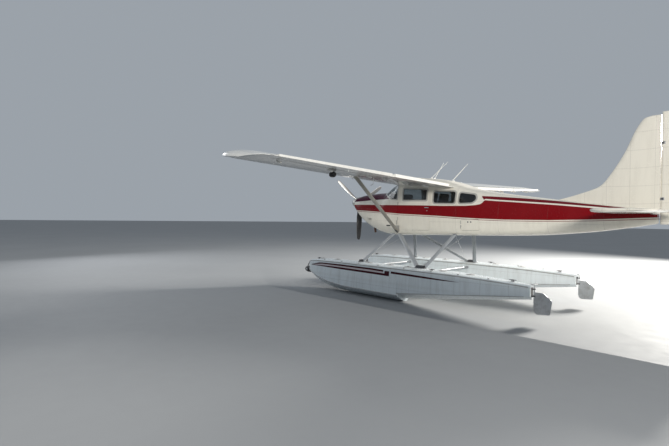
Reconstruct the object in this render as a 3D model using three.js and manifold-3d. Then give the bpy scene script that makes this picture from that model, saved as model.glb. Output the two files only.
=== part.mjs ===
// A single-engine, high-wing, strut-braced utility aircraft standing on twin floats.
// Millimetres. +X is the aircraft's left, +Y runs aft, +Z is up, and both keels touch z = 0.
import * as THREE from 'three';
import { mergeVertices } from 'three/addons/utils/BufferGeometryUtils.js';
import Module from 'manifold-3d';

const wasm = await Module();
wasm.setup();

// Driving dimensions
const FIREWALL_Y = -2330;      // fuselage stations are counted aft from here
const BELLY_Z = 1450;          // fuselage heights are counted up from here
const SEAT_GAP = 0.3;          // between pieces that touch
const PANEL_GAP = 6;           // round doors and control surfaces
const PIN_GAP = 0.5;           // between a turning pin and its bore
const WALL = 22;               // thickness of the cabin wall and of its doors
const CABIN_END = 2950;        // station of the rear cabin bulkhead
const PAN_TOP = 80;            // height where the belly pan meets the cabin shell
const FLOOR_TOP = 72;
const FLOOR_THICK = 20;
const SIDES = { left: 1, right: -1 };

// Fuselage sections: half-width at the belt, height of belly and top, narrowing of the top,
// and how square the section is at its bottom and its top
const FUSELAGE = [
  // station, half, bottom, top, narrow, squareBottom, squareTop
  [0, 485, 28, 1030, 0.14, 3.6, 2.6],
  [180, 500, 0, 1050, 0.13, 4.0, 2.6],
  [300, 512, -14, 1122, 0.13, 4.6, 2.8],
  [460, 524, -26, 1205, 0.12, 5.4, 3.4],
  [590, 532, -30, 1252, 0.11, 6.0, 4.0],
  [625, 534, -30, 1300, 0.11, 6.0, 4.2],
  [720, 538, -30, 1344, 0.10, 6.0, 4.6],
  [1000, 543, -24, 1374, 0.09, 6.0, 4.8],
  [1300, 546, -14, 1347, 0.09, 6.0, 4.6],
  [1660, 545, 0, 1308, 0.09, 6.0, 4.4],
  [1950, 540, 8, 1250, 0.10, 6.0, 4.4],
  [2220, 534, 15, 1168, 0.11, 5.8, 4.3],
  [2520, 522, 22, 1064, 0.13, 5.4, 4.2],
  [2950, 486, 34, 974, 0.16, 4.6, 3.8],
  [3800, 376, 66, 842, 0.20, 3.2, 2.9],
  [4800, 246, 160, 706, 0.22, 2.6, 2.4],
  [5500, 150, 270, 630, 0.20, 2.3, 2.3],
  [5850, 76, 340, 596, 0.18, 2.2, 2.2],
].map(([station, half, bottom, top, narrow, squareBottom, squareTop]) =>
  ({ station, half, bottom, top, narrow, squareBottom, squareTop }));

// Cowl sections, the same columns: the nose bowl rises sharply under the propeller
const COWL = [
  [-905, 292, 640, 905, 0.05, 2.6, 2.4],
  [-880, 330, 590, 928, 0.06, 2.7, 2.4],
  [-800, 376, 512, 958, 0.08, 2.8, 2.4],
  [-620, 424, 346, 992, 0.10, 3.0, 2.4],
  [-330, 462, 160, 1016, 0.12, 3.1, 2.5],
  [-90, 481, 60, 1028, 0.14, 3.2, 2.6],
  [-SEAT_GAP, 485, 29, 1030, 0.14, 3.2, 2.6],
].map(([station, half, bottom, top, narrow, squareBottom, squareTop]) =>
  ({ station, half, bottom, top, narrow, squareBottom, squareTop }));

// Wing sections of the left side, from inside the cabin roof out to the drooped tip
const WING = [
  // span, lead and trail stations, lead and trail heights, thickness share of chord
  [300, 606, 2216, 1245, 1072, 0.12],
  [2540, 611, 2221, 1325, 1151, 0.12],
  [5060, 727, 1897, 1391, 1310, 0.12],
  [5240, 772, 1862, 1391, 1312, 0.115],
  [5370, 880, 1790, 1372, 1302, 0.10],
  [5440, 1050, 1650, 1345, 1290, 0.075],
  [5462, 1220, 1500, 1318, 1282, 0.04],
].map(([span, lead, trail, leadZ, trailZ, thick]) => ({ span, lead, trail, leadZ, trailZ, thick }));

// Control surfaces of the wing: span range, share of chord at the hinge, nose radius
const FLAP = { from: 640, to: 2500, hinge: 0.79, nose: 45 };
const AILERON = { from: 2560, to: 4960, hinge: 0.79, nose: 45 };
const HINGE_PIN = { radius: 7, length: 24 };
const PIN_SIDES = 12;

// Tail surfaces. Fin and stabilizer hinge lines, and the outlines seen from the side and above
const RUDDER_HINGE = 5905;
const ELEVATOR = { hinge: 5790, height: 540, tube: 17, nose: 26 };
const FIN_OUTLINE = [[4150, 740], [4980, 1010], [5330, 1560], [5580, 2090], [5700, 2180], [5872, 2180]];
const STABILIZER_OUTLINE = [[0, 5030], [900, 5130], [1500, 5230], [1640, 5400], [1652, 5790], [0, 5790]];
const STABILIZER_THICK = 66;
const ELEVATOR_OUTLINE = [[95, 5790], [1652, 5790], [1640, 6030], [1540, 6120], [420, 6262], [330, 6240]];
const ELEVATOR_THICK = 44;
const RUDDER_TOP = 2225;
const RUDDER_BOTTOM = 330;

// Propeller
const PROP = { station: -975, height: 800, radius: 1030, blades: 3, phase: 32, hub: 62 };
const SPINNER = { nose: -1235, back: -918, radius: 158 };
const BLADE = [
  // share of radius, chord, thickness, pitch in degrees
  [0.03, 70, 62, 70],
  [0.13, 78, 58, 60],
  [0.22, 118, 34, 46],
  [0.45, 152, 22, 32],
  [0.72, 142, 14, 23],
  [0.92, 112, 9, 18],
  [0.985, 74, 6, 17],
  [1, 30, 4, 17],
];

// Floats: centreline, and sections along the hull
const FLOAT_X = 1170;
const DECK_Z = 757;
const STEP_STATION = 1500;
const HULL = [
  // station, keel, chine height, chine half, deck edge height, deck half
  [-1680, 470, 515, 46, 638, 40],
  [-1600, 375, 478, 106, 668, 100],
  [-1450, 258, 426, 206, 699, 186],
  [-1250, 164, 364, 262, 722, 232],
  [-1100, 110, 322, 292, 732, 250],
  [-500, 22, 218, 326, 742, 272],
  [100, 0, 180, 335, 745, 278],
  [STEP_STATION, 0, 170, 335, 745, 278],
  [STEP_STATION + 1, 62, 214, 322, 745, 278],
  [2600, 198, 318, 282, 740, 254],
  [3600, 330, 420, 190, 706, 176],
  [4250, 420, 480, 92, 664, 88],
].map(([station, keel, chine, chineHalf, edge, edgeHalf]) =>
  ({ station, keel, chine, chineHalf, edge, edgeHalf }));
const DECK_CROWN = 14;
const BUMPER = { front: -1880, back: -1560, half: 85, low: 338, high: 504 };
const WATER_RUDDER = {
  station: 4290,
  blade: [[4275, 560], [4275, 250], [4330, 170], [4560, 190], [4590, 420], [4430, 560]],
  post: 9,
  arm: [690, 706],
};

// Struts: where they meet the fuselage and the floats, as [x, station, height] of the left side
const DECK_FITTINGS = { front: [1110, 120, DECK_Z - BELLY_Z], rear: [1110, 1845, DECK_Z - BELLY_Z] };
const FLOAT_STRUT = { chord: 96, thick: 40 };
const WING_STRUT = { foot: [505, 735, 60], head: [2640, 1290, 1215], chord: 112, thick: 46 };
const SPREADER = { height: -800, radius: 24 };
const WIRE_RADIUS = 5;
const WIRES = {
  front: { station: 60, high: [330, 560, 60] },
  rear: { station: 1770, high: [320, 2190, 80] },
};
const WIRE_CROSSING = 9;       // each wire passes this far from the middle of the pair

// Openings of the cabin side, seen from the left as [station, height]
const DOOR = [[760, 250], [905, 95], [1668, 110], [1668, 1084], [1200, 1112], [760, 1150]];
const DOOR_WINDOW = [[900, 800], [1600, 786], [1600, 1056], [1520, 1068], [900, 1104]];
const REAR_WINDOW = [[1760, 728], [2306, 714], [2306, 985], [1760, 1010]];
const AFT_WINDOW = [[2388, 716], [2700, 722], [2782, 800], [2740, 905], [2388, 958]];
const BAGGAGE_DOOR = [[2450, 130], [2860, 140], [2860, 380], [2450, 375]];
const WINDSHIELD = [[165, 1300], [165, 1015], [330, 950], [440, 885], [560, 846], [735, 827], [735, 1215],
  [655, 1236], [655, 1300]];
const DOOR_HINGE = { x: 539, station: 763, heights: [330, 700] };
const BAGGAGE_HINGE = { x: 523, station: 2453, heights: [175, 270] };
const KNUCKLE = { radius: 9, length: 36, pin: 4 };

// A seat's side outlines, as [station from its front edge, height]
const CUSHION = [[0, 300], [470, 285], [480, 420], [0, 440]];
const BACKREST = [[400, 380], [500, 380], [600, 1010], [520, 1020]];

const fy = (station) => FIREWALL_Y + station;
const fz = (height) => BELLY_Z + height;
const place = ([x, station, height], side = 1) => new THREE.Vector3(side * x, fy(station), fz(height));

// Solids from three.js geometry, and cuts and joins between them
function solidOf(geometry) {
  const bare = geometry.index ? geometry.clone() : geometry;
  bare.deleteAttribute('normal');
  bare.deleteAttribute('uv');
  const merged = mergeVertices(bare, 1e-3);
  const vertProperties = new Float32Array(merged.attributes.position.array);
  const triVerts = new Uint32Array(merged.index.array);
  const solid = new wasm.Manifold(new wasm.Mesh({ numProp: 3, vertProperties, triVerts }));
  if (solid.volume() > 0) return solid;
  for (let t = 0; t < triVerts.length; t += 3) {
    [triVerts[t], triVerts[t + 1]] = [triVerts[t + 1], triVerts[t]];
  }
  return new wasm.Manifold(new wasm.Mesh({ numProp: 3, vertProperties, triVerts }));
}

const join = (first, ...others) => others.reduce((sum, other) => sum.add(other), first);
const cut = (first, ...others) => others.reduce((rest, other) => rest.subtract(other), first);
const common = (first, ...others) => others.reduce((both, other) => both.intersect(other), first);

function geometryOf(solid) {
  const mesh = solid.getMesh();
  const geometry = new THREE.BufferGeometry();
  const positions = new Float32Array(mesh.vertProperties);
  geometry.setAttribute('position', new THREE.BufferAttribute(positions, mesh.numProp));
  geometry.setIndex(new THREE.BufferAttribute(new Uint32Array(mesh.triVerts), 1));
  geometry.computeVertexNormals();
  return geometry;
}

// A skin over equal rings of points, closed at both ends, its quads split alike on left and right
function loft(rings) {
  const count = rings[0].length;
  const positions = [];
  const triangles = [];
  for (const ring of rings) for (const point of ring) positions.push(point.x, point.y, point.z);
  for (let row = 0; row + 1 < rings.length; row += 1) {
    for (let column = 0; column < count; column += 1) {
      const next = (column + 1) % count;
      const a = row * count + column;
      const b = row * count + next;
      const onLeft = rings[row][column].x + rings[row][next].x > 0;
      if (onLeft) triangles.push(a, b, a + count, b, b + count, a + count);
      else triangles.push(a, b, b + count, a, b + count, a + count);
    }
  }
  for (const [row, flip] of [[0, true], [rings.length - 1, false]]) {
    const middle = new THREE.Vector3();
    for (const point of rings[row]) middle.addScaledVector(point, 1 / count);
    const centre = positions.length / 3;
    positions.push(middle.x, middle.y, middle.z);
    for (let column = 0; column < count; column += 1) {
      const a = row * count + column;
      const b = row * count + ((column + 1) % count);
      triangles.push(...(flip ? [b, a, centre] : [a, b, centre]));
    }
  }
  const geometry = new THREE.BufferGeometry();
  geometry.setAttribute('position', new THREE.Float32BufferAttribute(positions, 3));
  geometry.setIndex(triangles);
  return solidOf(geometry);
}

// An outline of [u, v] points whose corners are rounded to a radius
function roundedShape(outline, radius) {
  const shape = new THREE.Shape();
  const points = outline.map(([u, v]) => new THREE.Vector2(u, v));
  points.forEach((corner, index) => {
    const before = points[(index + points.length - 1) % points.length];
    const after = points[(index + 1) % points.length];
    const reach = Math.min(radius, corner.distanceTo(before) * 0.45, corner.distanceTo(after) * 0.45);
    const start = corner.clone().add(before.clone().sub(corner).setLength(reach));
    const end = corner.clone().add(after.clone().sub(corner).setLength(reach));
    if (index === 0) shape.moveTo(start.x, start.y);
    else shape.lineTo(start.x, start.y);
    if (radius > 0) shape.quadraticCurveTo(corner.x, corner.y, end.x, end.y);
  });
  shape.closePath();
  return shape;
}

// The same outline moved in or out by a distance, corner by corner
function offsetOutline(outline, distance) {
  const points = outline.map(([u, v]) => new THREE.Vector2(u, v));
  const area = points.reduce((sum, p, i) => sum + p.cross(points[(i + 1) % points.length]), 0);
  const turn = area > 0 ? 1 : -1;
  return points.map((corner, index) => {
    const before = corner.clone().sub(points[(index + points.length - 1) % points.length]).normalize();
    const after = points[(index + 1) % points.length].clone().sub(corner).normalize();
    const normal = (d) => new THREE.Vector2(d.y, -d.x).multiplyScalar(turn);
    const sum = normal(before).add(normal(after));
    const scale = (2 * distance) / sum.lengthSq();
    return [corner.x + sum.x * scale, corner.y + sum.y * scale];
  });
}

// A straight body with this outline. Along x the outline is [station, height], else [x, y] or [x, z]
function prism(axis, outline, from, to, radius = 0) {
  const shape = roundedShape(outline, radius);
  const options = { depth: to - from, bevelEnabled: false, curveSegments: 5 };
  const geometry = new THREE.ExtrudeGeometry(shape, options);
  const basis = new THREE.Matrix4();
  if (axis === 'x') {
    basis.makeBasis(new THREE.Vector3(0, 1, 0), new THREE.Vector3(0, 0, 1), new THREE.Vector3(1, 0, 0));
    basis.setPosition(from, FIREWALL_Y, BELLY_Z);
  } else if (axis === 'y') {
    basis.makeBasis(new THREE.Vector3(1, 0, 0), new THREE.Vector3(0, 0, 1), new THREE.Vector3(0, -1, 0));
    basis.setPosition(0, to, 0);
  } else {
    basis.setPosition(0, 0, from);
  }
  return solidOf(geometry.applyMatrix4(basis));
}

// A box given by its lowest and highest corners, each as [x, station, height]
function block(low, high) {
  const a = place(low);
  const b = place(high);
  const size = b.clone().sub(a);
  const geometry = new THREE.BoxGeometry(size.x, size.y, size.z);
  geometry.translate((a.x + b.x) / 2, (a.y + b.y) / 2, (a.z + b.z) / 2);
  return solidOf(geometry);
}

// A round bar between two points
function bar(from, to, radius, sides = 10) {
  const length = from.distanceTo(to);
  const geometry = new THREE.CylinderGeometry(radius, radius, length, sides);
  const along = to.clone().sub(from).normalize();
  const turn = new THREE.Quaternion().setFromUnitVectors(new THREE.Vector3(0, 1, 0), along);
  geometry.applyQuaternion(turn);
  geometry.translate((from.x + to.x) / 2, (from.y + to.y) / 2, (from.z + to.z) / 2);
  return solidOf(geometry);
}

// A streamlined bar between two points, its chord lying fore and aft
function streamlined(from, to, chord, thick) {
  const along = to.clone().sub(from).normalize();
  const side = new THREE.Vector3().crossVectors(along, new THREE.Vector3(0, 1, 0)).normalize();
  const aft = new THREE.Vector3().crossVectors(side, along).normalize();
  const shape = new THREE.Shape();
  shape.moveTo(-chord * 0.42, 0);
  shape.bezierCurveTo(-chord * 0.42, thick * 0.42, -chord * 0.2, thick * 0.5, 0, thick * 0.5);
  shape.bezierCurveTo(chord * 0.25, thick * 0.48, chord * 0.45, thick * 0.2, chord * 0.58, 0);
  shape.bezierCurveTo(chord * 0.45, -thick * 0.2, chord * 0.25, -thick * 0.48, 0, -thick * 0.5);
  shape.bezierCurveTo(-chord * 0.2, -thick * 0.5, -chord * 0.42, -thick * 0.42, -chord * 0.42, 0);
  const options = { depth: from.distanceTo(to), bevelEnabled: false, curveSegments: 4 };
  const geometry = new THREE.ExtrudeGeometry(shape, options);
  const basis = new THREE.Matrix4().makeBasis(aft, side.clone(), along);
  if (basis.determinant() < 0) basis.makeBasis(aft, side.clone().negate(), along);
  basis.setPosition(from);
  return solidOf(geometry.applyMatrix4(basis));
}

// The same solid on the other side of the aircraft
function mirrored(solid) {
  const geometry = geometryOf(solid);
  geometry.deleteAttribute('normal');
  return solidOf(geometry.scale(-1, 1, 1));
}
const onSide = (side, solid) => (side === 1 ? solid : mirrored(solid));

// A row of a table between two of its rows, mixed by one column
function rowAt(table, key, value) {
  const above = table.findIndex((row) => row[key] > value);
  const index = above < 0 ? table.length - 2 : Math.max(0, above - 1);
  const low = table[index];
  const high = table[index + 1];
  const share = (value - low[key]) / (high[key] - low[key]);
  const mix = (name) => low[name] + (high[name] - low[name]) * share;
  return Object.fromEntries(Object.keys(low).map((name) => [name, mix(name)]));
}

// Fuselage and cowl: sections that are rounded boxes, narrower towards the top
function bodyRing(section, grow) {
  const count = 32;
  const half = section.half + grow;
  const top = section.top + grow;
  const bottom = section.bottom - grow;
  const middle = bottom + (top - bottom) * 0.5;
  return Array.from({ length: count }, (_, index) => {
    const angle = (index / count) * 2 * Math.PI;
    const square = Math.sin(angle) > 0 ? section.squareTop : section.squareBottom;
    const reach = (value) => Math.sign(value) * Math.abs(value) ** (2 / square);
    const up = reach(Math.sin(angle));
    const height = middle + (up > 0 ? top - middle : middle - bottom) * up;
    const narrowing = 1 - section.narrow * Math.max(0, up) ** 1.5;
    return new THREE.Vector3(half * reach(Math.cos(angle)) * narrowing, fy(section.station), fz(height));
  });
}

function bodyLoft(table, from, to, grow = 0) {
  const inside = table.filter((row) => row.station > from + 1 && row.station < to - 1);
  const rows = [rowAt(table, 'station', from), ...inside, rowAt(table, 'station', to)];
  return loft(rows.map((row) => bodyRing(row, grow)));
}

// A hinge of two knuckles with leaves, on an upright axis: the upper one moves and carries the pin
function uprightHinge({ x, station }, height) {
  const { radius, length, pin } = KNUCKLE;
  const middle = height + length;
  const top = height + 2 * length;
  const at = (z) => place([x, station, z]);
  const leaf = block([x - 26, station - 12, height], [x, station, middle]);
  const fixed = join(bar(at(height), at(middle), radius), leaf);
  const hole = bar(at(height + 6), at(middle + 1), pin + PIN_GAP, PIN_SIDES);
  const moving = join(
    bar(at(middle + 0.4), at(top), radius),
    block([x - 26, station, middle + 0.4], [x, station + 12, top]),
    bar(at(height + 10), at(middle + 2), pin, PIN_SIDES),
  );
  const roomFixed = bar(at(height - 5), at(middle + 0.4), radius + 5);
  const roomMoving = bar(at(middle), at(top + 5), radius + 5);
  return { fixed, hole, moving, roomFixed, roomMoving };
}

const fuselageSkin = bodyLoft(FUSELAGE, 0, 5850, SEAT_GAP);

// Cabin: a shell from the firewall to the rear bulkhead, with its doors and windows cut, on a belly pan
const wallBand = (low, high) => cut(
  bodyLoft(FUSELAGE, 0, CABIN_END, -low),
  bodyLoft(FUSELAGE, -40, CABIN_END + 40, -high),
);
const cabinWall = wallBand(0, WALL);
const underPanTop = (gap) => block([-700, -100, -200], [700, CABIN_END + 100, PAN_TOP - gap]);
const makeBellyPan = () => common(cabinWall, underPanTop(SEAT_GAP));
const acrossLeft = (outline, grow, radius) => prism('x', offsetOutline(outline, grow), 150, 700, radius);

const doorHinges = DOOR_HINGE.heights.map((height) => uprightHinge(DOOR_HINGE, height));
const baggageHinges = BAGGAGE_HINGE.heights.map((height) => uprightHinge(BAGGAGE_HINGE, height));

function cabinOpenings(side) {
  const openings = [
    acrossLeft(DOOR, 0, 60),
    acrossLeft(REAR_WINDOW, 0, 70),
    acrossLeft(AFT_WINDOW, 0, 60),
    ...doorHinges.map((hinge) => hinge.roomMoving),
  ];
  if (side === 1) {
    openings.push(acrossLeft(BAGGAGE_DOOR, 0, 40), ...baggageHinges.map((hinge) => hinge.roomMoving));
  }
  return openings.map((opening) => onSide(side, opening));
}

function makeCabin() {
  const sides = cut(cabinWall, underPanTop(0), prism('x', WINDSHIELD, -700, 700));
  const shell = cut(sides, ...cabinOpenings(1), ...cabinOpenings(-1));
  const hinges = [...doorHinges, ...baggageHinges];
  const knuckles = hinges.map((hinge) => hinge.fixed);
  const holes = hinges.map((hinge) => hinge.hole);
  const rightKnuckles = doorHinges.map((hinge) => mirrored(hinge.fixed));
  const rightHoles = doorHinges.map((hinge) => mirrored(hinge.hole));
  return cut(join(shell, ...knuckles, ...rightKnuckles), ...holes, ...rightHoles);
}

function makeDoor(side) {
  const panel = common(cabinWall, acrossLeft(DOOR, -PANEL_GAP, 60));
  const opened = cut(panel, acrossLeft(DOOR_WINDOW, 0, 45), ...doorHinges.map((hinge) => hinge.roomFixed));
  return onSide(side, join(opened, ...doorHinges.map((hinge) => hinge.moving)));
}

function makeBaggageDoor() {
  const panel = common(cabinWall, acrossLeft(BAGGAGE_DOOR, -PANEL_GAP, 40));
  const opened = cut(panel, ...baggageHinges.map((hinge) => hinge.roomFixed));
  return join(opened, ...baggageHinges.map((hinge) => hinge.moving));
}

const paneBand = wallBand(8, 14);
const sidePane = (side, outline, radius) =>
  onSide(side, common(paneBand, acrossLeft(outline, -SEAT_GAP, radius)));
const makeWindshield = () =>
  common(wallBand(3, 11), prism('x', offsetOutline(WINDSHIELD, -SEAT_GAP), -700, 700));

// Inside the cabin: firewall, panel with its shelf, floor and seats, all fitted to the inner wall
const cabinRoom = bodyLoft(FUSELAGE, 0, CABIN_END, -WALL - SEAT_GAP);
const makeFirewall = () => common(cabinRoom, block([-600, 4, -100], [600, 22, 1200]));
const makePanel = () => common(cabinRoom, join(
  block([-600, 430, 640], [600, 452, 944]),
  block([-600, 240, 920], [600, 440, 944]),
));
const makeFloor = () =>
  common(cabinRoom, block([-600, 24, FLOOR_TOP - FLOOR_THICK], [600, CABIN_END - 2, FLOOR_TOP]));

function makeSeat(centre, width, station) {
  const low = centre - width / 2;
  const high = centre + width / 2;
  const from = (outline) => outline.map(([s, height]) => [s + station, height]);
  const cushion = prism('x', from(CUSHION), low, high, 40);
  const back = prism('x', from(BACKREST), low, high, 30);
  const frame = block([low + 60, station + 60, FLOOR_TOP + SEAT_GAP], [high - 60, station + 400, 330]);
  return common(join(cushion, back, frame), bodyLoft(FUSELAGE, 0, CABIN_END, -WALL - 12));
}

// Cowl: a hollow shell with two air inlets beside the spinner and an outlet underneath
function makeCowl() {
  const outer = bodyLoft(COWL, -905, -SEAT_GAP);
  const inner = bodyLoft(COWL, -880, 40, -14);
  const inlets = [1, -1].map((side) => prism('y',
    [[112, 750], [270, 735], [285, 800], [262, 866], [112, 880]].map(([x, z]) => [side * x, fz(z)]),
    fy(-950), fy(-840), 40));
  const shaft = bar(place([0, -950, PROP.height]), place([0, -840, PROP.height]), 84, 20);
  const outlet = block([-170, -210, -60], [170, -40, 130]);
  return cut(outer, inner, ...inlets, shaft, outlet);
}

function makeEngine() {
  const body = block([-270, -700, 560], [270, -260, 850]);
  const shaft = bar(place([0, -912, PROP.height]), place([0, -680, PROP.height]), 40, 16);
  const mounts = [[-230, 590], [230, 590], [-230, 820], [230, 820]].map(([x, z]) =>
    block([x - 14, -270, z - 14], [x + 14, 4 - SEAT_GAP, z + 14]));
  return join(body, shaft, ...mounts);
}

// Propeller: three twisted blades on a short hub, inside a hollow spinner
const propellerCentre = place([0, PROP.station, PROP.height]);
function makeBlade(angle) {
  const count = 10;
  const rings = BLADE.map(([share, chord, thick, pitch]) => {
    const turn = THREE.MathUtils.degToRad(pitch);
    return Array.from({ length: count }, (_, index) => {
      const a = (index / count) * 2 * Math.PI;
      const along = 0.5 * chord * Math.cos(a);
      const across = 0.5 * thick * Math.sin(a);
      const swing = along * Math.cos(turn) - across * Math.sin(turn);
      const fore = -along * Math.sin(turn) - across * Math.cos(turn);
      const point = new THREE.Vector3(share * PROP.radius, fore, swing);
      return point.applyAxisAngle(new THREE.Vector3(0, 1, 0), -angle).add(propellerCentre);
    });
  });
  return loft(rings);
}

const bladeAngles = Array.from({ length: PROP.blades }, (_, index) =>
  THREE.MathUtils.degToRad(PROP.phase + (index * 360) / PROP.blades));

function makePropeller() {
  const hub = bar(place([0, -1050, PROP.height]), place([0, -912 - SEAT_GAP, PROP.height]), PROP.hub, 20);
  return join(hub, ...bladeAngles.map(makeBlade));
}

function makeSpinner() {
  const dome = (radius, nose, back) => {
    const steps = 7;
    const curve = Array.from({ length: steps }, (_, index) => {
      const share = (index + 1) / steps;
      return new THREE.Vector2(radius * Math.sqrt(1 - (1 - share) ** 2.2), nose + (back - nose) * share);
    });
    const profile = [new THREE.Vector2(0, nose), ...curve, new THREE.Vector2(0, back)];
    const geometry = new THREE.LatheGeometry(profile, 18);
    return solidOf(geometry.translate(0, FIREWALL_Y, fz(PROP.height)));
  };
  const slots = bladeAngles.map((angle) => {
    const outward = new THREE.Vector3(Math.cos(angle), 0, Math.sin(angle));
    const outside = propellerCentre.clone().addScaledVector(outward, SPINNER.radius + 20);
    return bar(propellerCentre, outside, 46);
  });
  const bore = bar(place([0, SPINNER.back - 40, PROP.height]), place([0, SPINNER.back + 10, PROP.height]),
    PROP.hub + SEAT_GAP, 20);
  const shell = cut(dome(SPINNER.radius, SPINNER.nose, SPINNER.back),
    dome(SPINNER.radius - 6, SPINNER.nose + 10, SPINNER.back - 8));
  return cut(shell, ...slots, bore);
}

// Wings: solid, with the flap and aileron bays cut out of them
function aerofoilRing(row, side) {
  const shares = [1, 0.88, 0.74, 0.6, 0.46, 0.33, 0.21, 0.12, 0.05, 0.015, 0];
  const chord = Math.hypot(row.trail - row.lead, row.trailZ - row.leadZ);
  const aft = new THREE.Vector2(row.trail - row.lead, row.trailZ - row.leadZ).divideScalar(chord);
  const up = new THREE.Vector2(-aft.y, aft.x);
  const fall = (s) => 0.126 * s + 0.3516 * s ** 2 - 0.2843 * s ** 3 + 0.1 * s ** 4;
  const half = (s) => 5 * row.thick * (0.2969 * Math.sqrt(s) - fall(s));
  const camber = (s) => (s < 0.4 ? 0.125 * (0.8 * s - s ** 2) : 0.0556 * (0.2 + 0.8 * s - s ** 2));
  const point = (s, sign) => {
    const lift = (camber(s) + sign * half(s)) * chord + (s === 1 ? sign * 1.5 : 0);
    const station = row.lead + aft.x * s * chord + up.x * lift;
    const height = row.leadZ + aft.y * s * chord + up.y * lift;
    return new THREE.Vector3(side * row.span, fy(station), fz(height));
  };
  const upper = shares.map((s) => point(s, 1));
  const lower = shares.slice(0, -1).reverse().map((s) => point(s, -1));
  return [...upper, ...lower];
}

function wingPoint(span, share) {
  const { lead, trail, leadZ, trailZ } = rowAt(WING, 'span', span);
  const camber = 0.0556 * (0.2 + 0.8 * share - share ** 2) * (trail - lead);
  return place([span, lead + (trail - lead) * share, leadZ + (trailZ - leadZ) * share + camber]);
}

const wingSolid = loft(WING.map((row) => aerofoilRing(row, 1)));

// The bay behind a hinge line, with a round front. A gap makes it larger all round
function controlBay({ from, to, hinge, nose }, gap) {
  const start = wingPoint(from - gap, hinge);
  const end = wingPoint(to + gap, hinge);
  const along = end.clone().sub(start);
  const length = along.length();
  along.normalize();
  const up = new THREE.Vector3(0, 0, 1).addScaledVector(along, -along.z).normalize();
  const aft = new THREE.Vector3().crossVectors(up, along);
  const reach = nose + gap;
  const shape = new THREE.Shape();
  shape.moveTo(700, -200);
  shape.lineTo(700, 200);
  shape.lineTo(-gap, 200);
  shape.lineTo(-gap, Math.sqrt(reach ** 2 - gap ** 2));
  const tilt = Math.asin(gap / reach);
  shape.absarc(0, 0, reach, Math.PI / 2 + tilt, 1.5 * Math.PI - tilt, false);
  shape.lineTo(-gap, -200);
  const geometry = new THREE.ExtrudeGeometry(shape, { depth: length, bevelEnabled: false, curveSegments: 8 });
  geometry.applyMatrix4(new THREE.Matrix4().makeBasis(aft, up, along).setPosition(start));
  return solidOf(geometry);
}

function hingePins(control, grow) {
  const { radius, length } = HINGE_PIN;
  const axis = (span) => wingPoint(span, control.hinge);
  return [
    bar(axis(control.from - length - grow), axis(control.from + 30), radius + grow, PIN_SIDES),
    bar(axis(control.to - 30), axis(control.to + length + grow), radius + grow, PIN_SIDES),
  ];
}

function makeWing(side) {
  const bays = [FLAP, AILERON].flatMap((control) => [
    controlBay(control, PANEL_GAP),
    ...hingePins(control, PIN_GAP),
  ]);
  return onSide(side, cut(wingSolid, fuselageSkin, ...bays));
}

const makeControl = (side, control) =>
  onSide(side, join(common(wingSolid, controlBay(control, 0)), ...hingePins(control, 0)));

// Tail: hollow cone, fin and rudder, stabilizer and one-piece elevator on a tube through the cone

// A flat surface that is thickest at mid chord, from an outline of [x, station] of one side
function tailSurface(outline, height, thick) {
  const placed = outline.map(([x, station]) => [x, fy(station)]);
  return prism('z', placed, fz(height) - thick / 2, fz(height) + thick / 2, 60);
}

const stabilizerLeft = tailSurface(STABILIZER_OUTLINE, ELEVATOR.height, STABILIZER_THICK);
const elevatorLeft = tailSurface(ELEVATOR_OUTLINE, ELEVATOR.height, ELEVATOR_THICK);
const elevatorAxis = (x) => place([x, ELEVATOR.hinge, ELEVATOR.height]);

// Tapers that thin the tail surfaces to their leading and trailing edges
function edgeTaper(spanHalf, table) {
  const ring = (x) => table.map(([station, half]) => new THREE.Vector3(x, fy(station), half))
    .concat([...table].reverse().map(([station, half]) => new THREE.Vector3(x, fy(station), -half)));
  return loft([ring(-spanHalf), ring(spanHalf)]);
}

const stabilizerTaper = edgeTaper(1700, [[5020, 2], [5060, 16], [5200, 30], [5450, 33], [5790, 27]])
  .translate([0, 0, fz(ELEVATOR.height)]);
const elevatorTaper = edgeTaper(1700, [[5740, 26.5], [5790, 26], [6280, 3]])
  .translate([0, 0, fz(ELEVATOR.height)]);

function elevatorRoom(gap) {
  const shape = new THREE.Shape();
  const reach = ELEVATOR.nose + gap;
  shape.moveTo(600, -200);
  shape.lineTo(600, 200);
  shape.lineTo(0, 200);
  shape.lineTo(0, reach);
  shape.absarc(0, 0, reach, Math.PI / 2, 1.5 * Math.PI, false);
  shape.lineTo(0, -200);
  const geometry = new THREE.ExtrudeGeometry(shape, { depth: 3500, bevelEnabled: false, curveSegments: 8 });
  const basis = new THREE.Matrix4().makeBasis(new THREE.Vector3(0, 1, 0), new THREE.Vector3(0, 0, 1),
    new THREE.Vector3(1, 0, 0));
  geometry.applyMatrix4(basis.setPosition(-1750, fy(ELEVATOR.hinge), fz(ELEVATOR.height)));
  return solidOf(geometry);
}

function makeStabilizer() {
  const both = join(stabilizerLeft, mirrored(stabilizerLeft));
  const aroundTube = block([-110, 5745, 0], [110, 5900, 1000]);
  return cut(common(both, stabilizerTaper), elevatorRoom(PANEL_GAP), aroundTube);
}

function makeElevator() {
  const nose = bar(elevatorAxis(95), elevatorAxis(1640), ELEVATOR.nose, 16);
  const half = join(common(elevatorLeft, elevatorTaper, elevatorRoom(0)), nose);
  const tube = bar(elevatorAxis(-110), elevatorAxis(110), ELEVATOR.tube, 16);
  return join(half, mirrored(half), tube);
}

// The fin is a thin upright body on top of the cone, its dorsal part running forward
function uprightTaper(table, low, high) {
  const ring = (height) => table.map(([station, half]) => new THREE.Vector3(half, fy(station), fz(height)))
    .concat([...table].reverse().map(([station, half]) => new THREE.Vector3(-half, fy(station), fz(height))));
  return loft([ring(low), ring(high)]);
}

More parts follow.
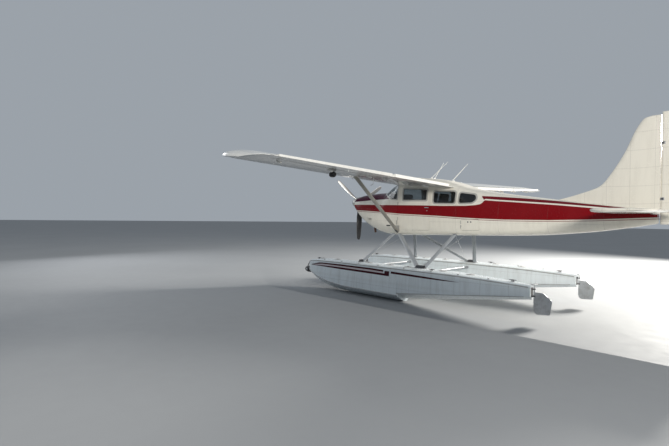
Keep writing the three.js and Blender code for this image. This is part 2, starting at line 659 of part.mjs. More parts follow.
const finTaper = uprightTaper([[4140, 8], [4700, 22], [5250, 38], [5600, 42], [5872, 34]], 400, 2400);
const rudderTaper = uprightTaper([[5860, 34], [RUDDER_HINGE, 33], [6462, 4]], 200, 2400);
const rudderHinges = [760, 1700].map((height) => {
  const at = (z) => place([0, RUDDER_HINGE, z]);
  return {
    lug: join(block([-14, RUDDER_HINGE - 60, height - 14], [14, RUDDER_HINGE + 8, height + 14]),
      bar(at(height - 34), at(height + 34), 6, PIN_SIDES)),
    room: join(block([-60, RUDDER_HINGE - 70, height - 20], [60, RUDDER_HINGE + 22, height + 20]),
      bar(at(height - 35), at(height + 35), 6 + PIN_GAP, PIN_SIDES)),
  };
});

function makeFin() {
  const base = prism('x', [...FIN_OUTLINE, [5872, 560], [4150, 700]], -60, 60, 90);
  const blade = common(base, finTaper);
  return join(cut(blade, fuselageSkin), ...rudderHinges.map((hinge) => hinge.lug));
}

function makeRudder() {
  const outline = [[RUDDER_HINGE, RUDDER_BOTTOM], [6330, 400], [6452, 900], [6425, 1700], [6300, RUDDER_TOP],
    [RUDDER_HINGE, RUDDER_TOP]];
  const at = (height) => place([0, RUDDER_HINGE, height]);
  const nose = bar(at(RUDDER_BOTTOM + 4), at(RUDDER_TOP - 4), 27, 16);
  const behind = prism('x', [[RUDDER_HINGE, 0], [6600, 0], [6600, 2500], [RUDDER_HINGE, 2500]], -80, 80);
  const blade = common(prism('x', outline, -60, 60, 70), rudderTaper, behind);
  return cut(join(blade, nose), ...rudderHinges.map((hinge) => hinge.room));
}

function makeTailCone() {
  const outer = bodyLoft(FUSELAGE, CABIN_END + SEAT_GAP, 5850);
  const inner = bodyLoft(FUSELAGE, CABIN_END + 20, 4900, -16);
  const hatch = bar(place([0, CABIN_END - 20, 480]), place([0, CABIN_END + 60, 480]), 190, 24);
  const bore = bar(elevatorAxis(-300), elevatorAxis(300), ELEVATOR.tube + 0.7, PIN_SIDES);
  const reach = STABILIZER_THICK / 2 + SEAT_GAP;
  const slot = block([-300, 5000, ELEVATOR.height - reach], [300, 5745 + SEAT_GAP, ELEVATOR.height + reach]);
  const clearance = block([-300, 5750, ELEVATOR.height - 36], [-60, 5900, ELEVATOR.height + 36]);
  return cut(outer, inner, hatch, bore, slot, clearance, mirrored(clearance));
}

// Floats: V-bottomed hulls with one step, a crowned deck and a rubber bumper round the stem
function hullRing(row, grow = 0) {
  const y = fy(row.station);
  const at = (x, z) => new THREE.Vector3(FLOAT_X + x, y, z);
  const half = row.chineHalf + grow;
  const edgeHalf = row.edgeHalf + grow;
  const top = row.edge + grow;
  const right = [
    at(half, row.chine - grow),
    at(half * 0.45 + edgeHalf * 0.55 + 6, row.chine + (top - row.chine) * 0.55),
    at(edgeHalf, top - 22),
    at(edgeHalf - 20, top),
    at(edgeHalf * 0.5, top + DECK_CROWN),
  ];
  const left = [...right].reverse().map((point) => new THREE.Vector3(2 * FLOAT_X - point.x, y, point.z));
  return [at(0, row.keel - grow), at(half * 0.55, row.keel + (row.chine - row.keel) * 0.42 - grow), ...right,
    at(0, top + DECK_CROWN), ...left, at(-half * 0.55, row.keel + (row.chine - row.keel) * 0.42 - grow)];
}

const hull = loft(HULL.map((row) => hullRing(row)));
const hullSkin = loft(HULL.map((row) => hullRing(row, SEAT_GAP)));

function rudderPost(low, high, radius) {
  const at = (z) => new THREE.Vector3(FLOAT_X, fy(WATER_RUDDER.station), z);
  return bar(at(low), at(high), radius, PIN_SIDES);
}

function makeFloat(side) {
  const x = FLOAT_X;
  const y = fy(WATER_RUDDER.station);
  const bracket = (low, high) => {
    const box = new THREE.BoxGeometry(36, 70, high - low);
    box.translate(x, y - 15, (low + high) / 2);
    return solidOf(box);
  };
  const brackets = join(bracket(600, 622), bracket(476, 498));
  const bored = cut(brackets, rudderPost(400, 700, WATER_RUDDER.post + PIN_GAP));
  return onSide(side, join(hull, bored));
}

function makeWaterRudder(side) {
  const { blade, post, arm } = WATER_RUDDER;
  const plate = (outline, half, radius = 0) =>
    prism('x', outline.map(([station, z]) => [station, z - BELLY_Z]), FLOAT_X - half, FLOAT_X + half, radius);
  const box = (from, to, low, high, half) => plate([[from, low], [to, low], [to, high], [from, high]], half);
  const trimmed = cut(plate(blade, 5, 30), box(4200, 4277, 0, 1000, 50), box(4200, 4335, 470, 504, 60));
  const tiller = box(4262, 4318, arm[0], arm[1], 90);
  return onSide(side, join(trimmed, rudderPost(440, arm[1], post), tiller));
}

function makeBumper(side) {
  const { front, back, half, low, high } = BUMPER;
  const ball = new THREE.SphereGeometry(1, 28, 18);
  ball.scale(half, (back - front) / 2, (high - low) / 2);
  ball.translate(FLOAT_X, fy((front + back) / 2), (low + high) / 2);
  return onSide(side, cut(solidOf(ball), hullSkin.translate([0, -SEAT_GAP, 0])));
}

// Struts of the floats: a front leg, a diagonal and a rear leg on each side
function deckPoint(name, inset = 0) {
  const [x, station, height] = DECK_FITTINGS[name];
  return [x, station + inset, height - 20];
}
const STRUTS = [
  { name: 'front_float_strut', from: deckPoint('front'), to: [400, 585, 30] },
  { name: 'diagonal_float_strut', from: deckPoint('rear', -62), to: [400, 690, 30] },
  { name: 'rear_float_strut', from: deckPoint('rear', 62), to: [400, 2250, 50] },
];

function makeFloatStrut(side, strut) {
  const leg = streamlined(place(strut.from), place(strut.to), FLOAT_STRUT.chord, FLOAT_STRUT.thick);
  return onSide(side, cut(leg, fuselageSkin, hullSkin));
}

function makeWingStrut(side) {
  const { foot, head, chord, thick } = WING_STRUT;
  const start = place(foot);
  const end = place(head);
  const along = end.clone().sub(start).normalize();
  const inside = start.clone().addScaledVector(along, -60);
  const beyond = end.clone().addScaledVector(along, 60);
  const leg = streamlined(inside, beyond, chord, thick);
  const above = loft(WING.map((row) => aerofoilRing(row, 1)).map((ring) =>
    ring.map((point) => point.clone().setZ(point.z - SEAT_GAP))));
  const lid = above.translate([0, 0, 60]);
  return onSide(side, cut(leg, fuselageSkin, above, lid));
}

// Spreader bars between the floats, and the crossed bracing wires above them
function makeSpreader(name) {
  const [, station] = DECK_FITTINGS[name];
  const end = (side) => place([side * FLOAT_X, station, SPREADER.height]);
  return cut(bar(end(-1), end(1), SPREADER.radius, 16), hullSkin, mirrored(hullSkin));
}

function makeWire(side, { station, high }) {
  const shift = side * WIRE_CROSSING;
  const low = place([side * (FLOAT_X - 170), station + shift, DECK_Z - BELLY_Z + 8]);
  const top = place([-side * high[0], high[1] + shift, high[2]]);
  return cut(bar(low, top, WIRE_RADIUS, 8), fuselageSkin, hullSkin, mirrored(hullSkin));
}

// Colours and finishes
const surface = (values) => new THREE.MeshStandardMaterial(values);
const paint = (color, roughness = 0.35) => surface({ color, roughness, metalness: 0.1 });
const FINISHES = {
  white_paint: paint(0xe9e6dc),
  red_paint: paint(0xa31621),
  maroon_paint: paint(0x5a1e33),
  strut_paint: paint(0xcfc7b4),
  float_paint: paint(0xd5dbe0),
  propeller_black: paint(0x26262a, 0.5),
  glass: surface({ color: 0x9fb4bb, roughness: 0.05, transparent: true, opacity: 0.3 }),
  interior: paint(0x3a3632, 0.8),
  seat_cloth: paint(0x4a4038, 0.9),
  metal: surface({ color: 0x9a9ca0, roughness: 0.4, metalness: 0.9 }),
  rubber: paint(0x1b1b1c, 0.8),
};

const floatplane = new THREE.Group();
function add(name, solid, look) {
  const mesh = new THREE.Mesh(geometryOf(solid), FINISHES[look]);
  mesh.name = name;
  floatplane.add(mesh);
}

add('cabin_shell', makeCabin(), 'white_paint');
add('belly_pan', makeBellyPan(), 'white_paint');
add('windshield', makeWindshield(), 'glass');
add('firewall', makeFirewall(), 'metal');
add('instrument_panel', makePanel(), 'interior');
add('cabin_floor', makeFloor(), 'interior');
add('baggage_door', makeBaggageDoor(), 'white_paint');
add('left_front_seat', makeSeat(245, 430, 1010), 'seat_cloth');
add('right_front_seat', makeSeat(-245, 430, 1010), 'seat_cloth');
add('rear_bench', makeSeat(0, 820, 1820), 'seat_cloth');
add('engine_cowl', makeCowl(), 'maroon_paint');
add('engine', makeEngine(), 'metal');
add('propeller', makePropeller(), 'propeller_black');
add('spinner', makeSpinner(), 'white_paint');
add('tail_cone', makeTailCone(), 'white_paint');
add('fin', makeFin(), 'white_paint');
add('rudder', makeRudder(), 'red_paint');
add('stabilizer', makeStabilizer(), 'white_paint');
add('elevator', makeElevator(), 'white_paint');
add('front_spreader_bar', makeSpreader('front'), 'strut_paint');
add('rear_spreader_bar', makeSpreader('rear'), 'strut_paint');

for (const [name, side] of Object.entries(SIDES)) {
  add(`${name}_door`, makeDoor(side), 'white_paint');
  add(`${name}_door_window`, sidePane(side, DOOR_WINDOW, 45), 'glass');
  add(`${name}_rear_window`, sidePane(side, REAR_WINDOW, 70), 'glass');
  add(`${name}_aft_window`, sidePane(side, AFT_WINDOW, 60), 'glass');
  add(`${name}_wing`, makeWing(side), 'white_paint');
  add(`${name}_flap`, makeControl(side, FLAP), 'white_paint');
  add(`${name}_aileron`, makeControl(side, AILERON), 'white_paint');
  add(`${name}_wing_strut`, makeWingStrut(side), 'strut_paint');
  add(`${name}_float`, makeFloat(side), 'float_paint');
  add(`${name}_bow_bumper`, makeBumper(side), 'rubber');
  add(`${name}_water_rudder`, makeWaterRudder(side), 'metal');
  for (const strut of STRUTS) add(`${name}_${strut.name}`, makeFloatStrut(side, strut), 'float_paint');
  for (const [bay, ends] of Object.entries(WIRES)) {
    add(`${name}_${bay}_brace_wire`, makeWire(side, ends), 'metal');
  }
}

export default floatplane;
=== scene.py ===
import math

import bmesh
import bpy
import numpy as np
from mathutils import Matrix, Vector


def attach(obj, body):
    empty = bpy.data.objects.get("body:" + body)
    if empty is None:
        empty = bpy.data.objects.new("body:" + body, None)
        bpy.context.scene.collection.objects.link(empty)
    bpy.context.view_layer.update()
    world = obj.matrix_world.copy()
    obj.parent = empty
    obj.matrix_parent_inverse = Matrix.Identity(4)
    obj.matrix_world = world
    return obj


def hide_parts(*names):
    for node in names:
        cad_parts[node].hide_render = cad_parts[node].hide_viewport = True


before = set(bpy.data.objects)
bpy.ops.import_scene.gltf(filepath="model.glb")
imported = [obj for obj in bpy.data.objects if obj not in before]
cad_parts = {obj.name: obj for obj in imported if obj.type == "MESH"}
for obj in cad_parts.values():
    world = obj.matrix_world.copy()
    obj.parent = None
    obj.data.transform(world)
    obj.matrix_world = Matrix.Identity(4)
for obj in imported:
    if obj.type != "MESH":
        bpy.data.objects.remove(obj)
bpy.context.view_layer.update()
scene = bpy.context.scene
scene.view_settings.view_transform = "Standard"

# Camera
# It stands where the photograph was taken from: off the left side, well behind the nose, a little above the
# cabin floor, with a wide lens that is almost level.
camera_data = bpy.data.cameras.new("photo_camera")
camera_data.lens = 24
camera_data.sensor_width = 36
camera_data.sensor_fit = "HORIZONTAL"
camera_data.clip_end = 400
camera = bpy.data.objects.new("photo_camera", camera_data)
camera_right = Vector((-0.71744, 0.69647, 0.01431))
camera_forward = Vector((-0.69661, -0.71737, -0.01081))
camera_up = camera_right.cross(camera_forward)
camera.matrix_world = Matrix((camera_right, camera_up, -camera_forward)).transposed().to_4x4()
camera.location = (9.1545, 5.1149, 1.8078)
scene.collection.objects.link(camera)
scene.camera = camera

# Studio
# A plain pale floor that runs to the horizon, an even pale surround, one lamp low on the far side, one behind
# the camera's right and a broad one that fills the nose.


def wire(socket, value):
    """Sets a socket to a number or colour, or joins another node's output to it."""
    if isinstance(value, bpy.types.NodeSocket):
        socket.id_data.links.new(value, socket)
    else:
        socket.default_value = value


def node(tree, kind, values=None, **settings):
    made = tree.nodes.new("ShaderNode" + kind)
    for setting, value in settings.items():
        setattr(made, setting, value)
    for socket, value in (values or {}).items():
        wire(made.inputs[socket], value)
    return made


def reckon(operation, *values, clamp=False):
    """One step of arithmetic between sockets and numbers."""
    tree = next(value.id_data for value in values if isinstance(value, bpy.types.NodeSocket))
    return node(tree, "Math", dict(enumerate(values)), operation=operation, use_clamp=clamp).outputs[0]


def tint(share, first, second, how="MIX"):
    """The first colour where share is 0 and the second where it is 1."""
    return node(share.id_data, "Mix", {0: share, 6: first, 7: second}, data_type="RGBA",
                blend_type=how).outputs[2]


def open_group(name, takes, gives):
    """A new node group, with its inlet's outputs and its outlet's inputs."""
    tree = bpy.data.node_groups.new(name, "ShaderNodeTree")
    for label, kind, start in takes:
        socket = tree.interface.new_socket(label, in_out="INPUT", socket_type="NodeSocket" + kind)
        socket.default_value = start
    for label, kind in gives:
        tree.interface.new_socket(label, in_out="OUTPUT", socket_type="NodeSocket" + kind)
    return tree, tree.nodes.new("NodeGroupInput").outputs, tree.nodes.new("NodeGroupOutput").inputs


def place_group(tree, group, values=None):
    placed = tree.nodes.new("ShaderNodeGroup")
    placed.node_tree = group
    for socket, value in (values or {}).items():
        wire(placed.inputs[socket], value)
    return placed.outputs


def new_material(name, group, values=None, bump=0.0, **constants):
    """A material whose colour, roughness and relief come from a group, and the rest is set on the shader."""
    made = bpy.data.materials.new(name)
    made.use_nodes = True
    tree = made.node_tree
    shader = tree.nodes["Principled BSDF"]
    for socket, value in constants.items():
        shader.inputs[socket.replace("_", " ")].default_value = value
    outputs = place_group(tree, group, values)
    tree.links.new(outputs["Color"], shader.inputs["Base Color"])
    tree.links.new(outputs["Roughness"], shader.inputs["Roughness"])
    if bump:
        relief = node(tree, "Bump", {"Distance": bump, "Strength": 1.0, "Height": outputs["Height"]})
        tree.links.new(relief.outputs[0], shader.inputs["Normal"])
    return made


def noise(vector, scale, detail=3.0, rough=0.5):
    values = {"Vector": vector, "Scale": scale, "Detail": detail, "Roughness": rough}
    return node(vector.id_data, "TexNoise", values).outputs[0]


def stretch(vector, x, y, z):
    return node(vector.id_data, "Mapping", {"Vector": vector, "Scale": (x, y, z)}).outputs[0]


def ramp(value, low, high, start=0.0, end=1.0):
    """Goes from start to end while the value goes from low to high, and stays there."""
    values = {"Value": value, "From Min": low, "From Max": high, "To Min": start, "To Max": end}
    return node(value.id_data, "MapRange", values, clamp=True).outputs[0]


SPEC = [("Color", "Color"), ("Roughness", "Float"), ("Height", "Float")]

# Studio floor colour, with the faint unevenness of poured screed
floor_group, _, floor_out = open_group("studio_floor", [], SPEC)
floor_place = node(floor_group, "TexCoord").outputs["Object"]
floor_mottle = noise(floor_place, 0.35)
wire(floor_out["Color"], tint(floor_mottle, (0.28, 0.29, 0.30, 1), (0.33, 0.34, 0.35, 1)))
wire(floor_out["Roughness"], ramp(noise(floor_place, 4.0), 0, 1, 0.65, 0.85))
wire(floor_out["Height"], noise(floor_place, 60.0))
floor_mesh = bpy.data.meshes.new("studio_floor")
FLOOR_REACH = 150
floor_corners = [(-1, -1), (1, -1), (1, 1), (-1, 1)]
floor_mesh.from_pydata([(x * FLOOR_REACH, y * FLOOR_REACH, 0) for x, y in floor_corners], [], [(0, 1, 2, 3)])
studio_floor = bpy.data.objects.new("studio_floor", floor_mesh)
floor_mesh.materials.append(new_material("studio_floor", floor_group, bump=0.001))
scene.collection.objects.link(studio_floor)

scene.world = scene.world or bpy.data.worlds.new("studio")
scene.world.use_nodes = True
surround = scene.world.node_tree.nodes["Background"]
surround.inputs["Color"].default_value = (0.78, 0.86, 0.95, 1)
surround.inputs["Strength"].default_value = 0.42


def add_lamp(name, place, aim, size, power, color):
    data = bpy.data.lights.new(name, "AREA")
    data.shape, data.size, data.energy, data.color = "DISK", size, power, color
    lamp = bpy.data.objects.new(name, data)
    lamp.location = place
    lamp.rotation_mode = "QUATERNION"
    lamp.rotation_quaternion = (Vector(aim) - Vector(place)).to_track_quat("-Z", "Y")
    scene.collection.objects.link(lamp)


add_lamp("low_sun", (-15, 4.5, 7.0), (0, -1.0, 1.6), 4.0, 7600, (1.0, 0.96, 0.89))
add_lamp("camera_side", (12, 12, 5.5), (0, -0.5, 1.4), 3.0, 1700, (1.0, 0.96, 0.90))
add_lamp("nose_fill", (4, -15, 6), (0, -1, 1.5), 8.0, 350, (0.97, 0.98, 1.0))

# A flag that keeps the lamp behind the camera off the near float's side
flag_mesh = bpy.data.meshes.new("studio_flag")
flag_mesh.from_pydata([(2.2, -4.5, 0), (2.2, 4.5, 0), (2.2, 4.5, 1.12), (2.2, -4.5, 1.12)], [],
                      [(0, 1, 2, 3)])
studio_flag = bpy.data.objects.new("studio_flag", flag_mesh)
flag_mesh.materials.append(floor_mesh.materials[0])
scene.collection.objects.link(studio_flag)
for sight in ("visible_camera", "visible_glossy", "visible_diffuse", "visible_transmission"):
    setattr(studio_flag, sight, False)

# Floats
# Two riveted aluminium hulls with a V bottom, hard chines, one step and a nearly flat deck. Each is painted
# a pale white with two maroon stripes that run together at the bow, a closing block and a single stripe aft
# of it. The white has a blue-grey cast, which is painted shade: the look of the hulls in shade under the sky.
FIREWALL_Y = -2.330
BELLY_Z = 1.450
FLOAT_X = 1170
SIDES = {"left": 1, "right": -1}


def at(x, station, height):
    """A point of the row frame from millimetres: across, aft of the firewall, and above the belly."""
    return Vector((x / 1000, station / 1000 + FIREWALL_Y, height / 1000 + BELLY_Z))


ACROSS, AFT, UP = Vector((1, 0, 0)), Vector((0, 1, 0)), Vector((0, 0, 1))


def smooth_rows(table, stations):
    """A table's rows at other stations, on curves that pass its rows and never swing past them."""
    rows = np.array(table, float)
    x, columns = rows[:, 0], rows[:, 1:]
    gap = np.diff(x)[:, None]
    slope = np.diff(columns, axis=0) / gap
    grade = np.vstack([slope[:1], np.zeros((len(x) - 2, columns.shape[1])), slope[-1:]])
    before, after = slope[:-1], slope[1:]
    w1, w2 = 2 * gap[1:] + gap[:-1], gap[1:] + 2 * gap[:-1]
    same = before * after > 0
    safe = np.where(same, before, 1), np.where(same, after, 1)
    grade[1:-1] = np.where(same, (w1 + w2) / (w1 / safe[0] + w2 / safe[1]), 0)
    made = []
    for station in stations:
        i = int(np.clip(np.searchsorted(x, station) - 1, 0, len(x) - 2))
        h = x[i + 1] - x[i]
        t = (station - x[i]) / h
        low = (1 + 2 * t) * (1 - t) ** 2 * columns[i] + t * (1 - t) ** 2 * h * grade[i]
        high = t * t * (3 - 2 * t) * columns[i + 1] + t * t * (t - 1) * h * grade[i + 1]
        made.append([station, *(low + high)])
    return made


def every(first, last, step):
    count = max(2, round(abs(last - first) / step) + 1)
    return list(np.linspace(first, last, count))


def new_object(name, points, faces):
    mesh = bpy.data.meshes.new(name)
    mesh.from_pydata([tuple(p) for p in points], [], faces)
    turn_out(mesh)
    made = bpy.data.objects.new(name, mesh)
    scene.collection.objects.link(made)
    return made


def turn_out(mesh):
    """Makes every face of a closed mesh look outward."""
    body = bmesh.new()
    body.from_mesh(mesh)
    bmesh.ops.recalc_face_normals(body, faces=body.faces)
    body.to_mesh(mesh)
    body.free()


def loft(name, rings):
    """A closed skin over equal rings of points."""
    count = len(rings[0])
    points = [p for ring in rings for p in ring]
    faces = []
    for row in range(len(rings) - 1):
        for column in range(count):
            a, b = row * count + column, row * count + (column + 1) % count
            faces.append((a, b, b + count, a + count))
    for row in (0, len(rings) - 1):
        middle = sum((Vector(p) for p in rings[row]), Vector()) / count
        points.append(middle)
        centre = len(points) - 1
        faces += [(row * count + c, row * count + (c + 1) % count, centre) for c in range(count)]
    return new_object(name, points, faces)


def finish_piece(piece, material, body, stands_for=(), sharp=35, keep_normals=False):
    """Gives a piece its finish and shading, hangs it on the body it rides on and hides the parts it stands
    for.
    """
    mesh = piece.data
    mesh.materials.clear()
    mesh.materials.append(material)
    mesh.polygons.foreach_set("use_smooth", [True] * len(mesh.polygons))
    mesh.set_sharp_from_angle(angle=math.radians(sharp))
    if not keep_normals:
        evened = piece.modifiers.new("even_shading", "WEIGHTED_NORMAL")
        evened.keep_sharp = True
    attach(piece, body)
    if stands_for:
        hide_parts(*stands_for)
    return piece


# Pale enamel over riveted sheet. Along and Across are the directions of the sheet that rows of rivets follow.
sheet_group, sheet_in, sheet_out = open_group(
    "riveted_enamel",
    [("Paint", "Color", (0.8, 0.8, 0.8, 1)), ("Along", "Float", 0.0), ("Across", "Float", 0.0),
     ("Frame Pitch", "Float", 0.45), ("Row Pitch", "Float", 0.3), ("Dirt", "Float", 0.15),
     ("Gloss", "Float", 0.28)],
    SPEC)
sheet_place = node(sheet_group, "TexCoord").outputs["Object"]
RIVET_INSET, RIVET_SPACING = 0.011, 0.03


def rivet_row(along, across, pitch):
    """Distance to the nearest rivet of rows that stand a pitch apart, and to the nearest sheet edge."""
    edge = reckon("PINGPONG", along, reckon("MULTIPLY", pitch, 0.5))
    row = reckon("SUBTRACT", edge, RIVET_INSET)
    spot = reckon("PINGPONG", across, RIVET_SPACING / 2)
    squares = reckon("ADD", reckon("MULTIPLY", row, row), reckon("MULTIPLY", spot, spot))
    return reckon("SQRT", squares), edge


frame_rivets, frame_edge = rivet_row(sheet_in["Along"], sheet_in["Across"], sheet_in["Frame Pitch"])
row_rivets, row_edge = rivet_row(sheet_in["Across"], sheet_in["Along"], sheet_in["Row Pitch"])
rivet_reach = reckon("MINIMUM", frame_rivets, row_rivets)
rivet_dome = ramp(rivet_reach, 0.0015, 0.0032, 1.0, 0.0)
seam_reach = reckon("MINIMUM", frame_edge, row_edge)
seam = ramp(seam_reach, 0.0006, 0.0018, 1.0, 0.0)
buckle = noise(sheet_place, 2.2, 2.0)
peel = noise(sheet_place, 420.0, 2.0)
streaks = noise(stretch(sheet_place, 7.0, 7.0, 1.1), 1.6, 5.0, 0.6)
grime = reckon("MULTIPLY", ramp(streaks, 0.42, 0.78), sheet_in["Dirt"])
near_rivet = reckon("MULTIPLY", ramp(rivet_reach, 0.002, 0.009, 0.35, 0.0), sheet_in["Dirt"])
soiled = reckon("ADD", grime, near_rivet, clamp=True)
chalky = tint(ramp(buckle, 0.3, 0.7, 0.0, 0.006), sheet_in["Paint"], (0.80, 0.79, 0.76, 1))
dulled = tint(reckon("MULTIPLY", soiled, 0.6), chalky, (0.26, 0.22, 0.18, 1), "MULTIPLY")
seamed = tint(reckon("MULTIPLY", seam, 0.55), dulled, (0.10, 0.09, 0.08, 1))
wire(sheet_out["Color"], seamed)
fine = noise(sheet_place, 38.0, 4.0)
gloss = reckon("ADD", sheet_in["Gloss"], ramp(fine, 0.3, 0.7, -0.04, 0.07))
wire(sheet_out["Roughness"], reckon("ADD", gloss, reckon("MULTIPLY", soiled, 0.3)))
relief = reckon("SUBTRACT", reckon("MULTIPLY", rivet_dome, 0.6), seam)
waves = reckon("ADD", reckon("MULTIPLY", buckle, 2.0), reckon("MULTIPLY", peel, 0.02))
wire(sheet_out["Height"], reckon("ADD", relief, waves))

# Which way the sheet runs: Along is always aft, Across is up on the sides and sideways on decks and bottoms
axes_group, _, axes_out = open_group("sheet_directions", [],
                                     [("Along", "Float"), ("Across", "Float"), ("Up", "Float"),
                                      ("Sideways", "Float")])
axes_coordinates = node(axes_group, "TexCoord").outputs
axes_place = node(axes_group, "SeparateXYZ", {0: axes_coordinates["Object"]}).outputs
axes_lean = node(axes_group, "SeparateXYZ", {0: axes_coordinates["Normal"]}).outputs[2]
flat_share = reckon("GREATER_THAN", reckon("ABSOLUTE", axes_lean), 0.75)
sideways = reckon("SUBTRACT", axes_place[0], axes_place[2])
across = reckon("MULTIPLY_ADD", sideways, flat_share, axes_place[2])
wire(axes_out["Along"], axes_place[1])
wire(axes_out["Across"], across)
wire(axes_out["Up"], axes_place[2])
wire(axes_out["Sideways"], axes_place[0])


def height_curve(along, points, low, high):
    """The height of a painted line at each station, as a smooth node curve through [station m, height m]."""
    first, last = points[0][0], points[-1][0]
    share = ramp(along, first, last)
    made = node(share.id_data, "FloatCurve", {"Value": share})
    curve = made.mapping.curves[0]
    marks = [((s - first) / (last - first), (h - low) / (high - low)) for s, h in points]
    curve.points[0].location, curve.points[1].location = marks[0], marks[-1]
    for mark in marks[1:-1]:
        curve.points.new(*mark)
    for point in curve.points:
        point.handle_type = "VECTOR"
    made.mapping.update()
    return ramp(made.outputs[0], 0.0, 1.0, low, high)


def above(up, line, soft=0.0012):
    """1 over the line and 0 under it, with an edge as soft as masked paint."""
    return ramp(reckon("SUBTRACT", up, line), -soft, soft)


def between(up, low, high):
    return reckon("MULTIPLY", above(up, low), reckon("SUBTRACT", 1.0, above(up, high)))


def stretch_of(along, first, last):
    """1 between two stations."""
    return reckon("MULTIPLY", ramp(along, first - 0.001, first + 0.001),
                  ramp(along, last - 0.001, last + 0.001, 1.0, 0.0))


# Float stripes, as [station, height over the ground] in metres
STRIPE_LINES = {
    "upper": ([(-1.40, 0.592), (-1.05, 0.665), (-0.93, 0.673), (-0.27, 0.683), (0.70, 0.682), (1.10, 0.668)],
              [(-1.40, 0.583), (-1.05, 0.628), (-0.93, 0.640), (-0.26, 0.642), (0.71, 0.640), (1.10, 0.631)]),
    "lower": ([(-1.40, 0.590), (-1.00, 0.602), (-0.57, 0.611), (-0.25, 0.611), (0.71, 0.603), (1.27, 0.595)],
              [(-1.40, 0.579), (-1.00, 0.580), (-0.57, 0.572), (-0.25, 0.566), (0.71, 0.555), (1.27, 0.548)]),
    "single": ([(1.315, 0.660), (2.18, 0.634), (2.62, 0.614), (2.95, 0.600)],
               [(1.315, 0.612), (2.18, 0.595), (2.62, 0.593), (2.95, 0.598)]),
}
BLOCK = (1.135, 1.268, 0.548, 0.656)
# Pale hull white with a blue-grey cast that is painted shade, the look of the sides in shade under the sky.
FLOAT_WHITE_WITH_SHADE_CAST = (0.70, 0.755, 0.78, 1)
STRIPE_MAROON = (0.045, 0.0005, 0.006, 1)
STRIPE_GAP = (0.62, 0.55, 0.57, 1)
STRIPE_RANGE = (0.5, 0.7)


def pass_on(outlet, sheet):
    """Gives a group's outlet what the riveted sheet in it makes."""
    for socket in ("Color", "Roughness", "Height"):
        wire(outlet[socket], sheet[socket])


float_paint, float_paint_in, float_paint_out = open_group("float_stripes", [("Dirt", "Float", 0.2)], SPEC)
float_axes = place_group(float_paint, axes_group)
float_station = reckon("SUBTRACT", float_axes["Along"], FIREWALL_Y)
stripe_masks = []
for top, bottom in STRIPE_LINES.values():
    high = height_curve(float_station, top, *STRIPE_RANGE)
    low = height_curve(float_station, bottom, *STRIPE_RANGE)
    reach = stretch_of(float_station, top[0][0], top[-1][0])
    stripe_masks.append(reckon("MULTIPLY", between(float_axes["Up"], low, high), reach))
block_mask = reckon("MULTIPLY", stretch_of(float_station, *BLOCK[:2]), between(float_axes["Up"], *BLOCK[2:]))
all_stripes = reckon("MAXIMUM", block_mask, stripe_masks[2])
for mask in stripe_masks[:2]:
    all_stripes = reckon("MAXIMUM", all_stripes, mask)
gap_low = height_curve(float_station, STRIPE_LINES["lower"][0], *STRIPE_RANGE)
gap_high = height_curve(float_station, STRIPE_LINES["upper"][1], *STRIPE_RANGE)
gap_mask = reckon("MULTIPLY", stretch_of(float_station, -1.38, 1.10),
                  between(float_axes["Up"], gap_low, gap_high))
outboard = reckon("GREATER_THAN", reckon("ABSOLUTE", float_axes["Sideways"]), FLOAT_X / 1000)
hull_white = tint(reckon("MULTIPLY", gap_mask, outboard), FLOAT_WHITE_WITH_SHADE_CAST, STRIPE_GAP)
# A faint brown line at the height where the hull floats
tide = ramp(reckon("ABSOLUTE", reckon("SUBTRACT", float_axes["Up"], 0.40)), 0.0, 0.05, 0.22, 0.0)
hull_tide = tint(reckon("MULTIPLY", tide, float_paint_in["Dirt"]), hull_white, (0.25, 0.22, 0.14, 1))
hull_color = tint(reckon("MULTIPLY", all_stripes, outboard), hull_tide, STRIPE_MAROON)
hull_sheet = place_group(float_paint, sheet_group, {
    "Paint": hull_color, "Along": float_axes["Along"], "Across": float_axes["Across"],
    "Frame Pitch": 0.52, "Row Pitch": 0.31, "Dirt": float_paint_in["Dirt"], "Gloss": 0.24})
pass_on(float_paint_out, hull_sheet)
float_enamel = new_material("float_enamel", float_paint, {"Dirt": 0.35}, bump=0.0012, Coat_Weight=0.05,
                            Coat_Roughness=0.12, Specular_IOR_Level=0.14)

STEP_STATION = 1500
HULL_FORE = [
    # station, keel, chine height, chine half, deck edge height, deck half; heights over the ground
    [-1680, 470, 515, 46, 638, 40], [-1600, 375, 478, 106, 668, 100], [-1450, 258, 426, 206, 699, 186],
    [-1250, 164, 364, 262, 722, 232], [-1100, 110, 322, 292, 732, 250], [-500, 22, 218, 326, 742, 272],
    [100, 0, 180, 335, 745, 278], [STEP_STATION, 0, 170, 335, 745, 278]]
HULL_AFT = [
    [STEP_STATION + 1, 62, 214, 322, 745, 278], [2600, 198, 318, 282, 740, 254],
    [3600, 330, 420, 190, 706, 176], [4250, 420, 480, 92, 664, 88]]
DECK_CROWN = 14


def hull_half(keel, chine, chine_half, edge, edge_half):
    """Half a hull section from the keel round the chine and the gunwale to the middle of the deck."""
    half = [(t * chine_half, keel + t ** 1.45 * (chine - keel)) for t in np.linspace(0, 1, 12)[:-1]]
    for t in np.linspace(0, 1, 10)[:-1]:
        half.append((chine_half + (edge_half - chine_half) * t + 24 * t * (1 - t),
                     chine + (edge - 22 - chine) * t))
    for turn in np.linspace(0, math.pi / 2, 5):
        half.append((edge_half - 20 + 20 * math.cos(turn), edge - 22 + 22 * math.sin(turn)))
    for t in np.linspace(0, 1, 6)[1:]:
        half.append(((edge_half - 20) * (1 - t), edge + DECK_CROWN * min(1.0, 2 * t) ** 0.7))
    return half


def hull_ring(row, side):
    station, *sizes = row
    half = hull_half(*sizes)
    both = half + [(-x, z) for x, z in half[-2:0:-1]]
    return [at(side * (FLOAT_X + x), station, z - 1000 * BELLY_Z) for x, z in both]


